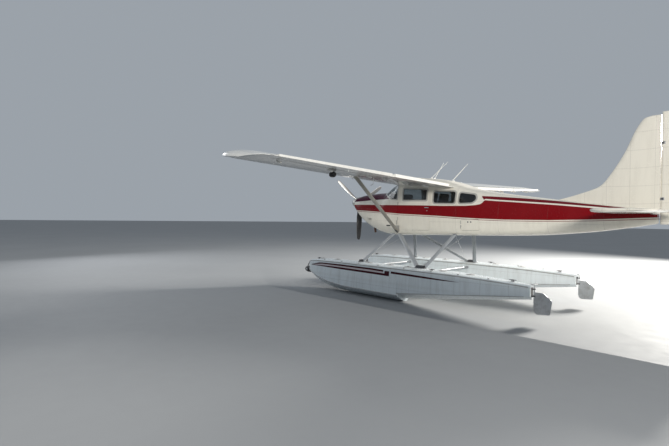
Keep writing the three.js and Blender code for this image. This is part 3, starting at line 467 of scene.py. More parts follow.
hull_rows = smooth_rows(HULL_FORE, every(-1680, STEP_STATION, 50))
hull_rows += smooth_rows(HULL_AFT, every(STEP_STATION + 1, 4250, 60))
for name, side in SIDES.items():
    hull = loft(f"{name}_float_hull", [hull_ring(row, side) for row in hull_rows])
    finish_piece(hull, float_enamel, "root", [f"{name}_float"], sharp=25)

# Float fittings
# Extruded chine rails and a rubbing strip along each gunwale, hatch covers and cleats on the deck, bilge pump
# plugs, and a moulded rubber bumper with a steel mooring ring on the bow. All are screwed or riveted on.


def start_parts():
    """An empty body that small solids are added to, so that a group of fittings is one piece."""
    return bmesh.new()


def as_object(parts, name):
    """Ends a body of parts and makes it an object."""
    bmesh.ops.recalc_face_normals(parts, faces=parts.faces)
    mesh = bpy.data.meshes.new(name)
    parts.to_mesh(mesh)
    parts.free()
    made = bpy.data.objects.new(name, mesh)
    scene.collection.objects.link(made)
    return made


def close_parts(parts, name, material, body, stands_for=(), sharp=35):
    return finish_piece(as_object(parts, name), material, body, stands_for, sharp)


def add_skin(parts, rings, closed=False):
    """Faces between equal rings of corners, with capped ends unless the rings close on themselves."""
    count = len(rings[0])
    for first, second in zip(rings, rings[1:] + rings[:closed]):
        for j in range(count):
            k = (j + 1) % count
            parts.faces.new((first[j], first[k], second[k], second[j]))
    if not closed:
        parts.faces.new(rings[0][::-1])
        parts.faces.new(rings[-1])


def frame_along(direction, near=UP):
    """Two directions square to a direction, the second as near as can be to the given one."""
    direction = Vector(direction).normalized()
    if abs(direction.dot(near)) > 0.99:
        near = AFT
    side = direction.cross(near).normalized()
    return side, side.cross(direction)


def add_turned(parts, start, direction, profile, sides=16):
    """A turned solid: [radius, distance along] from its start, closed where the radius is 0."""
    direction = Vector(direction).normalized()
    side, up = frame_along(direction)
    rings = []
    for radius, along in profile:
        centre = Vector(start) + direction * along
        if radius == 0:
            rings.append([parts.verts.new(centre)])
            continue
        turns = [2 * math.pi * i / sides for i in range(sides)]
        rings.append([parts.verts.new(centre + (side * math.cos(a) + up * math.sin(a)) * radius)
                      for a in turns])
    for first, second in zip(rings, rings[1:]):
        for i in range(sides):
            j = (i + 1) % sides
            corners = [first[i % len(first)], first[j % len(first)], second[j % len(second)],
                       second[i % len(second)]]
            corners = list(dict.fromkeys(corners))
            if len(corners) > 2:
                parts.faces.new(corners)


def add_rod(parts, start, end, radius, sides=12, chamfer=0.25):
    """A round bar with chamfered ends."""
    start, end = Vector(start), Vector(end)
    length, edge = (end - start).length, radius * chamfer
    add_turned(parts, start, end - start, [
        (0, 0), (radius - edge, 0), (radius, edge), (radius, length - edge), (radius - edge, length),
        (0, length)], sides)


def add_plate(parts, outline, origin, across, up, thick, bevel=0.0):
    """A flat plate from an outline of [u, v] metres, with rounded edges and its origin at mid-thickness."""
    across, up = Vector(across).normalized(), Vector(up).normalized()
    out = across.cross(up).normalized()
    made = start_parts()
    low = [made.verts.new(Vector(origin) + across * u + up * v - out * thick / 2) for u, v in outline]
    high = [made.verts.new(v.co + out * thick) for v in low]
    count = len(low)
    made.faces.new(low[::-1])
    made.faces.new(high)
    for i in range(count):
        made.faces.new((low[i], low[(i + 1) % count], high[(i + 1) % count], high[i]))
    if bevel:
        bmesh.ops.bevel(made, geom=list(made.edges), offset=bevel, segments=2, affect="EDGES", profile=0.6)
    pour(made, parts)


def pour(made, parts):
    """Moves one body's faces into another."""
    held = bpy.data.meshes.new("held")
    made.to_mesh(held)
    made.free()
    parts.from_mesh(held)
    bpy.data.meshes.remove(held)


def add_block(parts, centre, size, bevel=0.002, turn=None):
    """A block with rounded edges, as [across, aft, up] sizes, turned by a matrix if one is given."""
    turn = turn or Matrix.Identity(3)
    x, y, z = size
    outline = [(-x / 2, -y / 2), (x / 2, -y / 2), (x / 2, y / 2), (-x / 2, y / 2)]
    add_plate(parts, outline, centre, turn @ ACROSS, turn @ AFT, z, bevel)


def add_sweep(parts, path, section, near=UP, closed=False):
    """A bar with an outline of [u, v] metres along a path; v points as near as it can to a direction."""
    path = [Vector(p) for p in path]
    rings = []
    for i, point in enumerate(path):
        before = path[i - 1] if i or closed else point
        after = path[(i + 1) % len(path)] if i + 1 < len(path) or closed else point
        side, up = frame_along(after - before, near)
        rings.append([parts.verts.new(point + side * u + up * v) for u, v in section])
    add_skin(parts, rings, closed)


def round_section(radius, sides=10):
    return [(radius * math.cos(2 * math.pi * i / sides), radius * math.sin(2 * math.pi * i / sides))
            for i in range(sides)]


# Worn metal, with brushed grain, smears and dull patches
metal_group, metal_in, metal_out = open_group(
    "worn_metal", [("Metal", "Color", (0.6, 0.6, 0.6, 1)), ("Polish", "Float", 0.35), ("Wear", "Float", 0.3)],
    SPEC)
metal_place = node(metal_group, "TexCoord").outputs["Object"]
brushing = noise(stretch(metal_place, 30, 420, 420), 1.0, 3.0)
patches = noise(metal_place, 9.0, 4.0, 0.65)
worn = reckon("MULTIPLY", ramp(patches, 0.45, 0.7), metal_in["Wear"])
wire(metal_out["Color"], tint(worn, metal_in["Metal"], (0.14, 0.12, 0.10, 1)))
rubbed = reckon("ADD", metal_in["Polish"], ramp(brushing, 0.3, 0.7, -0.06, 0.08))
wire(metal_out["Roughness"], reckon("ADD", rubbed, reckon("MULTIPLY", worn, 0.35)))
wire(metal_out["Height"], reckon("ADD", brushing, patches))

# Rubber and hard plastic, with a fine mould texture and pale scuffs
plastic_group, plastic_in, plastic_out = open_group(
    "scuffed_plastic", [("Plastic", "Color", (0.03, 0.03, 0.03, 1)), ("Dull", "Float", 0.6),
                        ("Scuffs", "Float", 0.2)], SPEC)
plastic_place = node(plastic_group, "TexCoord").outputs["Object"]
pebbles = node(plastic_group, "TexVoronoi", {"Vector": plastic_place, "Scale": 500.0}).outputs["Distance"]
scuffs = noise(stretch(plastic_place, 14, 5, 22), 2.0, 5.0, 0.7)
scuffed = reckon("MULTIPLY", ramp(scuffs, 0.52, 0.75), plastic_in["Scuffs"])
wire(plastic_out["Color"], tint(scuffed, plastic_in["Plastic"], (0.36, 0.35, 0.33, 1)))
wire(plastic_out["Roughness"], reckon("ADD", plastic_in["Dull"], ramp(scuffs, 0.3, 0.7, -0.08, 0.1)))
wire(plastic_out["Height"], pebbles)


def metal(name, colour, polish, wear, **constants):
    return new_material(name, metal_group, {"Metal": (*colour, 1), "Polish": polish, "Wear": wear},
                        **constants)


def plastic(name, colour, dull, scuffs, bump=0.0):
    return new_material(name, plastic_group, {"Plastic": (*colour, 1), "Dull": dull, "Scuffs": scuffs}, bump)


# Pitches wider than any piece, for sheet that shows no rows of rivets
NO_ROWS = {"Frame Pitch": 9.0, "Row Pitch": 9.0}


def plain_sheet(name, paint, dirt, gloss, **constants):
    values = {"Paint": (*paint, 1), "Dirt": dirt, "Gloss": gloss, **NO_ROWS}
    return new_material(name, sheet_group, values, **constants)


bare_aluminium = metal("bare_aluminium", (0.62, 0.63, 0.64), 0.34, 0.35, bump=0.0004, Metallic=1.0)
dark_steel = metal("dark_steel", (0.12, 0.12, 0.13), 0.45, 0.5, bump=0.0004, Metallic=0.9)
bumper_rubber = plastic("bumper_rubber", (0.018, 0.018, 0.02), 0.62, 0.35, bump=0.0006)
deck_metal = new_material("deck_cover_enamel", sheet_group, {
    "Paint": (0.70, 0.73, 0.74, 1), "Frame Pitch": 5.0, "Row Pitch": 5.0, "Dirt": 0.5, "Gloss": 0.4},
                          bump=0.0008)


def hull_sizes(station):
    table = HULL_FORE if station <= STEP_STATION else HULL_AFT
    return smooth_rows(table, [station])[0][1:]


def on_float(side, x, station, z):
    return at(side * (FLOAT_X + x), station, z - 1000 * BELLY_Z)


RAIL = [(-0.011, -0.004), (0.011, -0.004), (0.013, 0.0), (0.009, 0.004), (-0.009, 0.004), (-0.013, 0.0)]
GUARD = [(-0.006, -0.011), (0.003, -0.011), (0.008, -0.006), (0.009, 0.0), (0.008, 0.006), (0.003, 0.011),
         (-0.006, 0.011)]
HATCHES = [-1180, -640, 420, 1060, 1560, 2440, 3060]
CLEATS = [(-1330, 0), (2250, 120), (3900, 0)]
PUMP_PLUGS = [-900, -260, 300, 900, 1620, 2300, 2900, 3500]
# The bumper wraps the stem: its front, back, half-width, low and high ends, and a strap holds it to the deck
BUMPER_FRONT, BUMPER_BACK, BUMPER_HALF, BUMPER_LOW, BUMPER_HIGH = -1880, -1560, 85, 338, 504


def carve(piece, *steps, solver="MANIFOLD"):
    """Cuts a piece by other bodies: each step is (operation, body). The cutting bodies are then removed."""
    for operation, tool in steps:
        change = piece.modifiers.new("carve", "BOOLEAN")
        change.operation, change.object, change.solver = operation, tool, solver
    graph = bpy.context.evaluated_depsgraph_get()
    mesh = bpy.data.meshes.new_from_object(piece.evaluated_get(graph))
    piece.modifiers.clear()
    piece.data = mesh
    for _, tool in steps:
        if tool.name in bpy.data.objects:
            bpy.data.objects.remove(tool)
    return piece


def add_cleat(parts, base, along, size=0.085):
    """A horn cleat: two feet and a bar with tapered horns."""
    side, _ = frame_along(along)
    for foot in (-0.2, 0.2):
        add_rod(parts, base + along * foot * size, base + along * foot * size + Vector((0, 0, size * 0.36)),
                size * 0.11, 8)
    top = base + Vector((0, 0, size * 0.38))
    add_turned(parts, top - along * size, along, [
        (0, 0), (size * 0.05, 0.004), (size * 0.1, size * 0.5), (size * 0.13, size), (size * 0.1, size * 1.5),
        (size * 0.05, size * 2 - 0.004), (0, size * 2)], 10)
    add_block(parts, base + Vector((0, 0, 0.002)), (size * 0.4, size * 0.9, 0.006), 0.0015)


for name, side in SIDES.items():
    rails = start_parts()
    for edge in (-1, 1):
        chine = []
        for station in every(-1600, STEP_STATION, 60) + every(STEP_STATION + 2, 4150, 80):
            keel, chine_z, chine_half, _, _ = hull_sizes(station)
            if station == STEP_STATION + 2:
                add_sweep(rails, chine, RAIL, near=Vector((side * edge * 0.4, 0, 1)))
                chine = []
            chine.append(on_float(side, edge * (chine_half + 4), station, chine_z - 2))
        add_sweep(rails, chine, RAIL, near=Vector((side * edge * 0.4, 0, 1)))
        gunwale = []
        for station in every(-1660, 4220, 60):
            _, _, _, deck, deck_half = hull_sizes(station)
            gunwale.append(on_float(side, edge * (deck_half + 1), station, deck - 24))
        section = [(u * side * edge, v) for u, v in GUARD]
        add_sweep(rails, gunwale, section)
    close_parts(rails, f"{name}_float_rails", deck_metal, "root")

    covers, darks, brights = start_parts(), start_parts(), start_parts()
    for station in HATCHES:
        deck = hull_sizes(station)[3] + DECK_CROWN
        add_turned(covers, on_float(side, 0, station, deck - 3), UP, [
            (0, 0), (0.092, 0), (0.092, 0.006), (0.088, 0.008), (0.074, 0.008), (0.070, 0.012),
            (0.020, 0.014), (0, 0.014)], 28)
        for turn in range(6):
            spot = Vector((math.cos(turn * math.pi / 3), math.sin(turn * math.pi / 3), 0)) * 0.081
            add_rod(brights, on_float(side, 0, station, deck + 4) + spot,
                    on_float(side, 0, station, deck + 7) + spot, 0.0045, 8)
        add_rod(darks, on_float(side, -32, station, deck + 13), on_float(side, 32, station, deck + 13), 0.006,
                8)
    for station in PUMP_PLUGS:
        _, _, _, deck, deck_half = hull_sizes(station)
        foot = on_float(side, deck_half - 46, station, deck + 2)
        add_turned(covers, foot, UP, [
            (0, 0), (0.020, 0), (0.021, 0.004), (0.013, 0.006), (0.013, 0.009), (0.019, 0.012),
            (0.019, 0.017), (0, 0.020)], 14)
    for station, across_deck in CLEATS:
        deck = hull_sizes(station)[3] + (DECK_CROWN if across_deck < 100 else 8)
        add_cleat(darks, on_float(side, across_deck, station, deck), AFT, 0.075)
    strap = [on_float(side, 0, station, z)
             for station, z in ((-1640, 668), (-1681, 648), (-1700, 632), (-1745, 575), (-1800, 500))]
    add_sweep(darks, strap, [(-0.014, -0.004), (0.014, -0.004), (0.014, 0.004), (-0.014, 0.004)])
    for edge in (-1, 1):
        add_turned(brights, on_float(side, edge * (BUMPER_HALF - 6), -1745, 418), (side * edge, 0, 0), [
            (0, 0), (0.026, 0), (0.027, 0.006), (0.020, 0.009), (0.014, 0.009), (0.013, 0.018), (0, 0.019)],
                   20)
    close_parts(covers, f"{name}_float_hatches", deck_metal, "root")
    close_parts(darks, f"{name}_float_deck_fittings", dark_steel, "root")
    close_parts(brights, f"{name}_float_hatch_screws", bare_aluminium, "root")

    rubber = start_parts()
    length = (BUMPER_BACK - BUMPER_FRONT) / 1000
    profile = [(0, 0)]
    for a in np.linspace(0.09, math.pi - 0.09, 35):
        groove = 0.035 * (1 + math.cos(12 * a)) * math.sin(a)
        profile.append((0.001 * BUMPER_HALF * (math.sin(a) ** 0.9 - groove), length / 2 * (1 - math.cos(a))))
    add_turned(rubber, on_float(side, 0, BUMPER_FRONT, (BUMPER_LOW + BUMPER_HIGH) / 2), AFT,
               profile + [(0, length)], 48)
    bmesh.ops.recalc_face_normals(rubber, faces=rubber.faces)
    bumper = new_object(f"{name}_bow_bumper_rubber", [v.co for v in rubber.verts],
                        [[v.index for v in f.verts] for f in rubber.faces])
    rubber.free()
    stem = [[p + Vector((0, -0.0004, 0)) for p in hull_ring(row, side)] for row in hull_rows[:12]]
    carve(bumper, ("DIFFERENCE", loft("stem_seat", stem)))
    finish_piece(bumper, bumper_rubber, "root", [f"{name}_bow_bumper"], sharp=60)

# Legs between floats and fuselage
# Streamlined aluminium tubes, two to the front fitting and one to the rear on each side, with cast forks and
# bolts at both ends. Round spreader tubes join the floats, and crossed steel wires brace each bay.
leg_enamel = plain_sheet("leg_enamel", (0.60, 0.66, 0.72), 0.35, 0.3, bump=0.0006, Coat_Weight=0.2)
DECK_Z = 757
SPREADER_HEIGHT = -800
# Where the front and rear legs stand on the deck, across, fore and aft, and over the belly
FOOT_X, FRONT_FOOT, REAR_FOOT, FOOT_HEIGHT = 1110, 120, 1845, DECK_Z - 1470


def teardrop(chord, thick, points=36):
    """The streamlined section of a strut, [aft, across], widest a third of the way back."""
    section = []
    for i in range(points):
        turn = 2 * math.pi * i / points
        along = math.cos(turn)
        width = math.sin(turn) * (1 - 0.32 * along)
        section.append(((0.5 * along + 0.08) * chord, 0.5 * width * thick))
    return section


def add_streamlined(parts, start, end, chord, thick, grow=((0, 1), (1, 1))):
    """A streamlined bar. grow is [share of length, scale] so that an end can swell into a cuff."""
    start, end = Vector(start), Vector(end)
    along = (end - start).normalized()
    side = along.cross(AFT).normalized()
    aft = side.cross(along)
    aft = aft if aft.y > 0 else -aft
    rings = []
    for share, scale in grow:
        middle = start.lerp(end, share)
        rings.append([parts.verts.new(middle + aft * u * scale + side * v * scale)
                      for u, v in teardrop(chord, thick)])
    add_skin(parts, rings)


LEGS = {
    "front": ((FOOT_X, FRONT_FOOT, FOOT_HEIGHT), (400, 585, 30)),
    "diagonal": ((FOOT_X, REAR_FOOT - 62, FOOT_HEIGHT), (400, 690, 30)),
    "rear": ((FOOT_X, REAR_FOOT + 62, FOOT_HEIGHT), (400, 2250, 50)),
}
LEG_SHAPE = [(0, 0.62), (0.03, 0.66), (0.07, 1), (0.93, 1), (0.965, 0.78), (1, 0.7)]
WIRES = {"front": (60, (330, 560, 60)), "rear": (1770, (320, 2190, 80))}


def point_on(side, place):
    return at(side * place[0], place[1], place[2])


for name, side in SIDES.items():
    fittings = start_parts()
    for leg, (low, high) in LEGS.items():
        tube = start_parts()
        start, end = point_on(side, low), point_on(side, high)
        add_streamlined(tube, start, end, 0.096, 0.040, LEG_SHAPE)
        close_parts(tube, f"{name}_{leg}_leg", leg_enamel, "root",
                    [f"{name}_{leg}_float_strut"], 40)
        along = (end - start).normalized()
        add_streamlined(fittings, start - along * 0.004, start + along * 0.085, 0.078, 0.034)
        add_rod(fittings, start + along * 0.045 + Vector((0.03 * side, 0, 0.012)),
                start + along * 0.045 - Vector((0.03 * side, 0, 0.012)), 0.011, 6, 0.15)
    for station in (FRONT_FOOT, REAR_FOOT):
        reach = 0.055 if station == FRONT_FOOT else 0.125
        foot = at(side * FOOT_X, station, FOOT_HEIGHT + 20)
        add_block(fittings, foot + Vector((0, 0, -0.002)), (0.12, reach * 2.2, 0.012), 0.003)
        if station == FRONT_FOOT:
            add_block(fittings, foot + Vector((-0.12 * side, 0, 0.001)), (0.24, 0.05, 0.014), 0.003)
            add_plate(fittings, [(-0.022, 0), (0.022, 0), (0.013, 0.135), (-0.013, 0.135)],
                      foot + Vector((-0.21 * side, 0, 0.004)), AFT, UP, 0.012, 0.002)
        for lug in (-1, 1):
            add_plate(fittings, [(-reach, 0), (reach, 0), (reach * 0.7, 0.055), (-reach * 0.7, 0.055)],
                      foot + Vector((lug * 0.026, 0, 0.002)), AFT, UP, 0.008, 0.002)
        for bolt in (-0.75, 0.75):
            for across in (0.048, -0.048):
                place = foot + Vector((across, reach * bolt, 0))
                add_rod(fittings, place, place + UP * 0.014, 0.009, 6, 0.15)
    close_parts(fittings, f"{name}_deck_leg_fittings", dark_steel, "root")

    for bay, (station, high) in WIRES.items():
        shift = side * 9
        low_end = at(side * (FLOAT_X - 170), station + shift, FOOT_HEIGHT + 28)
        high_end = at(-side * high[0], high[1] + shift, high[2])
        run = high_end - low_end
        stay = start_parts()
        add_rod(stay, low_end, high_end, 0.0035, 8)
        add_turned(stay, low_end + run.normalized() * 0.03, run, [
            (0.0035, 0), (0.0075, 0.008), (0.009, 0.03), (0.009, 0.11), (0.0075, 0.132), (0.0035, 0.14)], 10)
        add_turned(stay, high_end - run.normalized() * 0.14, run, [
            (0.0035, 0), (0.007, 0.008), (0.007, 0.08), (0.009, 0.1), (0.009, 0.14)], 10)
        add_block(stay, low_end + Vector((0, 0, -0.002)), (0.05, 0.03, 0.014), 0.003)
        close_parts(stay, f"{name}_{bay}_bracing_wire", bare_aluminium, "root",
                    [f"{name}_{bay}_brace_wire"])

for bay, station in (("front", FRONT_FOOT), ("rear", REAR_FOOT)):
    spreader = start_parts()
    half = FLOAT_X - (270 if bay == "front" else 268)
    ends = [at(side * half, station, SPREADER_HEIGHT) for side in (-1, 1)]
    length = (ends[1] - ends[0]).length
    cuff = [(0.024, 0), (0.024, 0.02), (0.031, 0.024), (0.031, 0.075), (0.024, 0.085)]
    add_turned(spreader, ends[0], ends[1] - ends[0], [(0, 0), *cuff,
                                                      *[(r, length - s) for r, s in cuff[::-1]], (0, length)],
               24)
    close_parts(spreader, f"{bay}_spreader_tube", leg_enamel, "root", [f"{bay}_spreader_bar"])

# Water rudders
# A sheet metal blade with pressed ribs, on a post in a bracket at each float's transom. Cables from the tail
# steer it through a tiller bar on top of the post.
WATER_RUDDER = 4290
RUDDER_BLADE = [(4277, 556), (4277, 252), (4300, 196), (4340, 172), (4540, 188), (4562, 204), (4590, 410),
                (4576, 446), (4450, 548), (4425, 558)]
for name, side in SIDES.items():
    blade = start_parts()
    centre = on_float(side, 0, WATER_RUDDER, 0)
    outline = [((s - WATER_RUDDER) / 1000, z / 1000) for s, z in RUDDER_BLADE]
    add_plate(blade, outline, centre, AFT, UP, 0.005, 0.001)
    for z in (0.26, 0.33, 0.40, 0.47):
        add_sweep(blade, [centre + Vector((0, 0.02, z)), centre + Vector((0, 0.14, z + 0.006)),
                          centre + Vector((0, 0.255, z + 0.012))],
                  [(-0.005, -0.006), (0.005, -0.006), (0.005, 0.006), (-0.005, 0.006)])
    add_rod(blade, centre + Vector((0, 0, 0.44)), centre + Vector((0, 0, 0.706)), 0.009, 16)
    add_plate(blade, [(-0.09, -0.02), (0.09, -0.02), (0.09, 0.02), (0.02, 0.028), (-0.02, 0.028),
                      (-0.09, 0.02)], centre + Vector((0, 0, 0.698)), ACROSS, AFT, 0.012, 0.003)
    for end in (-0.08, 0.08):
        add_rod(blade, centre + Vector((end, 0, 0.685)), centre + Vector((end, 0, 0.712)), 0.005, 8)
    close_parts(blade, f"{name}_water_rudder_blade", bare_aluminium, f"{name}_water_rudder",
                [f"{name}_water_rudder"])
    bracket = start_parts()
    for low in (0.487, 0.611):
        add_plate(bracket, [(-0.018, -0.055), (0.018, -0.055), (0.018, 0.012), (0.010, 0.02), (-0.010, 0.02),
                            (-0.018, 0.012)], centre + Vector((0, 0, low)), ACROSS, AFT, 0.022, 0.003)
    add_plate(bracket, [(-0.05, 0.46), (0.05, 0.46), (0.05, 0.64), (-0.05, 0.64)],
              centre + Vector((0, -0.043, 0)), ACROSS, UP, 0.006, 0.002)
    close_parts(bracket, f"{name}_transom_bracket", dark_steel, "root")

# Cabin
# Formed aluminium skins over frames, from the firewall to the bulkhead behind the side windows. It is white
# with a broad red band, a maroon top in front of the windshield, pinstripes, and a white surround to the
# windows.
FUSELAGE = [
    # station, half-width, belly, top, narrowing of the top, how square the bottom is, and the top
    [0, 485, 28, 1030, 0.14, 3.6, 2.6], [180, 500, 0, 1050, 0.13, 4.0, 2.6],
    [300, 512, -14, 1122, 0.13, 4.6, 2.8], [460, 524, -26, 1205, 0.12, 5.4, 3.4],
    [590, 532, -30, 1252, 0.11, 6.0, 4.0], [625, 534, -30, 1300, 0.11, 6.0, 4.2],
    [720, 538, -30, 1344, 0.10, 6.0, 4.6], [1000, 543, -24, 1374, 0.09, 6.0, 4.8],
    [1300, 546, -14, 1347, 0.09, 6.0, 4.6], [1660, 545, 0, 1308, 0.09, 6.0, 4.4],
    [1950, 540, 8, 1250, 0.10, 6.0, 4.4], [2220, 534, 15, 1168, 0.11, 5.8, 4.3],
    [2520, 522, 22, 1064, 0.13, 5.4, 4.2], [2950, 486, 34, 974, 0.16, 4.6, 3.8],
    [3800, 376, 66, 842, 0.20, 3.2, 2.9], [4800, 246, 160, 706, 0.22, 2.6, 2.4],
    [5500, 150, 270, 630, 0.20, 2.3, 2.3], [5850, 76, 340, 596, 0.18, 2.2, 2.2]]
CABIN_END = 2950
WALL = 22
DOOR = [[760, 250], [905, 95], [1668, 110], [1668, 1084], [1200, 1112], [760, 1150]]
DOOR_WINDOW = [[900, 800], [1600, 786], [1600, 1056], [1520, 1068], [900, 1104]]
REAR_WINDOW = [[1760, 728], [2306, 714], [2306, 985], [1760, 1010]]
AFT_WINDOW = [[2388, 716], [2700, 722], [2782, 800], [2740, 905], [2388, 958]]
BAGGAGE_DOOR = [[2450, 130], [2860, 140], [2860, 380], [2450, 375]]
WINDSHIELD = [[165, 1300], [165, 1015], [330, 950], [440, 885], [560, 846], [735, 827], [735, 1215],
              [655, 1236], [655, 1300]]
DOOR_GAP = 5


def body_ring(row, grow=0.0, count=128):
    """A rounded box section that narrows towards its top."""
    station, half, bottom, top, narrow, square_bottom, square_top = row
    half, bottom, top = half + grow, bottom - grow, top + grow
    middle = (bottom + top) / 2
    ring = []
    for i in range(count):
        turn = 2 * math.pi * i / count
        square = square_top if math.sin(turn) > 0 else square_bottom
        out = math.copysign(abs(math.cos(turn)) ** (2 / square), math.cos(turn))
        up = math.copysign(abs(math.sin(turn)) ** (2 / square), math.sin(turn))
        ring.append(at(half * out * (1 - narrow * max(0.0, up) ** 1.5), station,
                       middle + (top - middle) * up))
    return ring


def body_loft(name, table, first, last, grow=0.0, step=40, count=128):
    stations = every(first, last, step)
    rows = smooth_rows(table, np.clip(stations, table[0][0], table[-1][0]))
    return loft(name, [body_ring([s, *row[1:]], grow, count) for s, row in zip(stations, rows)])


def offset_outline(outline, distance):
    """An outline of [station, height] moved outward, corner by corner."""
    points = [Vector(p) for p in outline]
    area = sum(p.x * q.y - p.y * q.x for p, q in zip(points, points[1:] + points[:1]))
    turn = 1 if area > 0 else -1
    moved = []
    for i, corner in enumerate(points):
        before = (corner - points[i - 1]).normalized()
        after = (points[(i + 1) % len(points)] - corner).normalized()
        total = Vector((before.y + after.y, -before.x - after.x)) * turn
        moved.append(corner + total * 2 * distance / total.length_squared)
    return moved


def rounded(outline, radius, steps=8):
    """The same outline with its corners rounded."""
    points = [Vector(p) for p in outline]
    made = []
    for i, corner in enumerate(points):
        before, after = points[i - 1], points[(i + 1) % len(points)]
        reach = min(radius, (corner - before).length * 0.45, (corner - after).length * 0.45)
        start = corner + (before - corner).normalized() * reach
        end = corner + (after - corner).normalized() * reach
        made += [start.lerp(corner, t).lerp(corner.lerp(end, t), t) for t in np.linspace(0, 1, steps)]
    return made


def add_prism(parts, near, far):
    """A closed body between two outlines with the same number of points."""
    near, far = [parts.verts.new(p) for p in near], [parts.verts.new(p) for p in far]
    parts.faces.new(near)
    parts.faces.new(far[::-1])
    for i in range(len(near)):
        j = (i + 1) % len(near)
        parts.faces.new((near[i], near[j], far[j], far[i]))


def side_cutters(outlines, low, high):
    """Bodies that run across the aircraft with outlines of [station, height], from one x to another."""
    parts = start_parts()
    for outline in outlines:
        add_prism(parts, [at(low, *p) for p in outline], [at(high, *p) for p in outline])
    return as_object(parts, "side_cutters")


def keep_inside(outlines, low, high):
    """A step for carve that keeps what lies inside bodies that run across the aircraft."""
    return "INTERSECT", side_cutters(outlines, low, high)


def cut_out(outlines, low, high):
    """A step for carve that takes away what lies inside such bodies."""
    return "DIFFERENCE", side_cutters(outlines, low, high)


def wall_between(name, outer, inner, first=0, last=CABIN_END):
    """The cabin wall's layer between two depths under its skin."""
    layer = body_loft(name, FUSELAGE, first, last, outer)
    return carve(layer, ("DIFFERENCE", body_loft("inside", FUSELAGE, first - 40, last + 40, inner)))


def reaches(side, low=150, high=700):
    return sorted((side * low, side * high))


CREAM_WHITE = (0.78, 0.745, 0.655, 1)
BAND_RED = (0.20, 0.0005, 0.0035, 1)
TOP_MAROON = (0.070, 0.002, 0.022, 1)
UPPER_RED = (0.14, 0.002, 0.008, 1)
# Painted lines as [station, height over the belly] in metres
RED_TOP = [(-0.95, 0.733), (-0.03, 0.713), (0.67, 0.698), (1.41, 0.684), (1.94, 0.667), (2.54, 0.662),
           (2.76, 0.676), (2.865, 0.694), (2.915, 0.725), (2.94, 0.775), (2.96, 0.777), (3.158, 0.759),
           (3.355, 0.744), (3.55, 0.729), (4.30, 0.668), (5.00, 0.598), (5.90, 0.512)]
RED_BOTTOM = [(-0.95, 0.586), (-0.74, 0.581), (-0.185, 0.556), (0.173, 0.532), (0.834, 0.487), (1.415, 0.464),
              (1.947, 0.440), (2.435, 0.411), (2.881, 0.392), (3.35, 0.378), (4.2, 0.378), (5.0, 0.404),
              (5.9, 0.450)]
UPPER_TOP = [(2.868, 0.868), (3.031, 0.859), (3.228, 0.845), (3.42, 0.831), (3.605, 0.817), (3.80, 0.798),
             (4.30, 0.748), (5.00, 0.664), (5.90, 0.548)]
SURROUND = [(2.860, 0.69), (2.905, 0.72), (2.925, 0.745), (2.936, 0.775), (2.922, 0.80), (2.895, 0.825),
            (2.868, 0.870)]
COWL_EDGE = [(-0.95, 0.793), (-0.787, 0.803), (-0.259, 0.832), (0.083, 0.848), (0.42, 0.850)]

livery, livery_in, livery_out = open_group(
    "fuselage_livery", [("Frame Pitch", "Float", 0.92), ("Dirt", "Float", 0.2), ("Row Pitch", "Float", 0.44)],
    SPEC)
livery_axes = place_group(livery, axes_group)
body_station = reckon("SUBTRACT", livery_axes["Along"], FIREWALL_Y)
body_height = reckon("SUBTRACT", livery_axes["Up"], BELLY_Z)


def painted_line(points):
    return height_curve(body_station, points, -0.05, 1.45)


red_bottom = painted_line(RED_BOTTOM)
band = between(body_height, red_bottom, painted_line(RED_TOP))
behind_surround = ramp(reckon("SUBTRACT", body_station, height_curve(
    body_height, [(h, s) for s, h in SURROUND], 2.8, 3.0)), -0.0012, 0.0012)
upper_low = reckon("ADD", painted_line(RED_TOP), 0.028)
upper = reckon("MULTIPLY", between(body_height, upper_low, painted_line(UPPER_TOP)), behind_surround)
pin_high = reckon("SUBTRACT", red_bottom, 0.021)
pinstripe = between(body_height, reckon("SUBTRACT", pin_high, 0.010), pin_high)
before_glass = ramp(body_station, 0.452, 0.455, 1.0, 0.0)
cowl_top = reckon("MULTIPLY", above(body_height, painted_line(COWL_EDGE)), before_glass)
painted = tint(reckon("MAXIMUM", band, pinstripe), CREAM_WHITE, BAND_RED)
painted = tint(upper, painted, UPPER_RED)
painted = tint(cowl_top, painted, TOP_MAROON)
livery_sheet = place_group(livery, sheet_group, {
    "Paint": painted, "Along": reckon("SUBTRACT", body_station, 2.33), "Across": livery_axes["Across"],
    "Frame Pitch": livery_in["Frame Pitch"], "Row Pitch": livery_in["Row Pitch"], "Dirt": livery_in["Dirt"],
    "Gloss": 0.2})
pass_on(livery_out, livery_sheet)
body_enamel = new_material("body_enamel", livery, {"Dirt": 0.22}, bump=0.0010, Coat_Weight=0.08,
                           Coat_Roughness=0.08, Specular_IOR_Level=0.16)
door_enamel = new_material("door_enamel", livery, {"Dirt": 0.2, **NO_ROWS}, bump=0.0008, Coat_Weight=0.08,
                           Coat_Roughness=0.08, Specular_IOR_Level=0.16)

cabin = wall_between("cabin_skin", 0, -WALL)
side_openings = [(DOOR, 60), (REAR_WINDOW, 70), (AFT_WINDOW, 60)]
openings = [rounded(outline, radius) for outline, radius in side_openings]
carve(cabin, *[cut_out(openings, *reaches(side)) for side in SIDES.values()],
      cut_out([rounded(BAGGAGE_DOOR, 40)], 150, 700), cut_out([WINDSHIELD], -700, 700))
finish_piece(cabin, body_enamel, "root", ["cabin_shell", "belly_pan"])

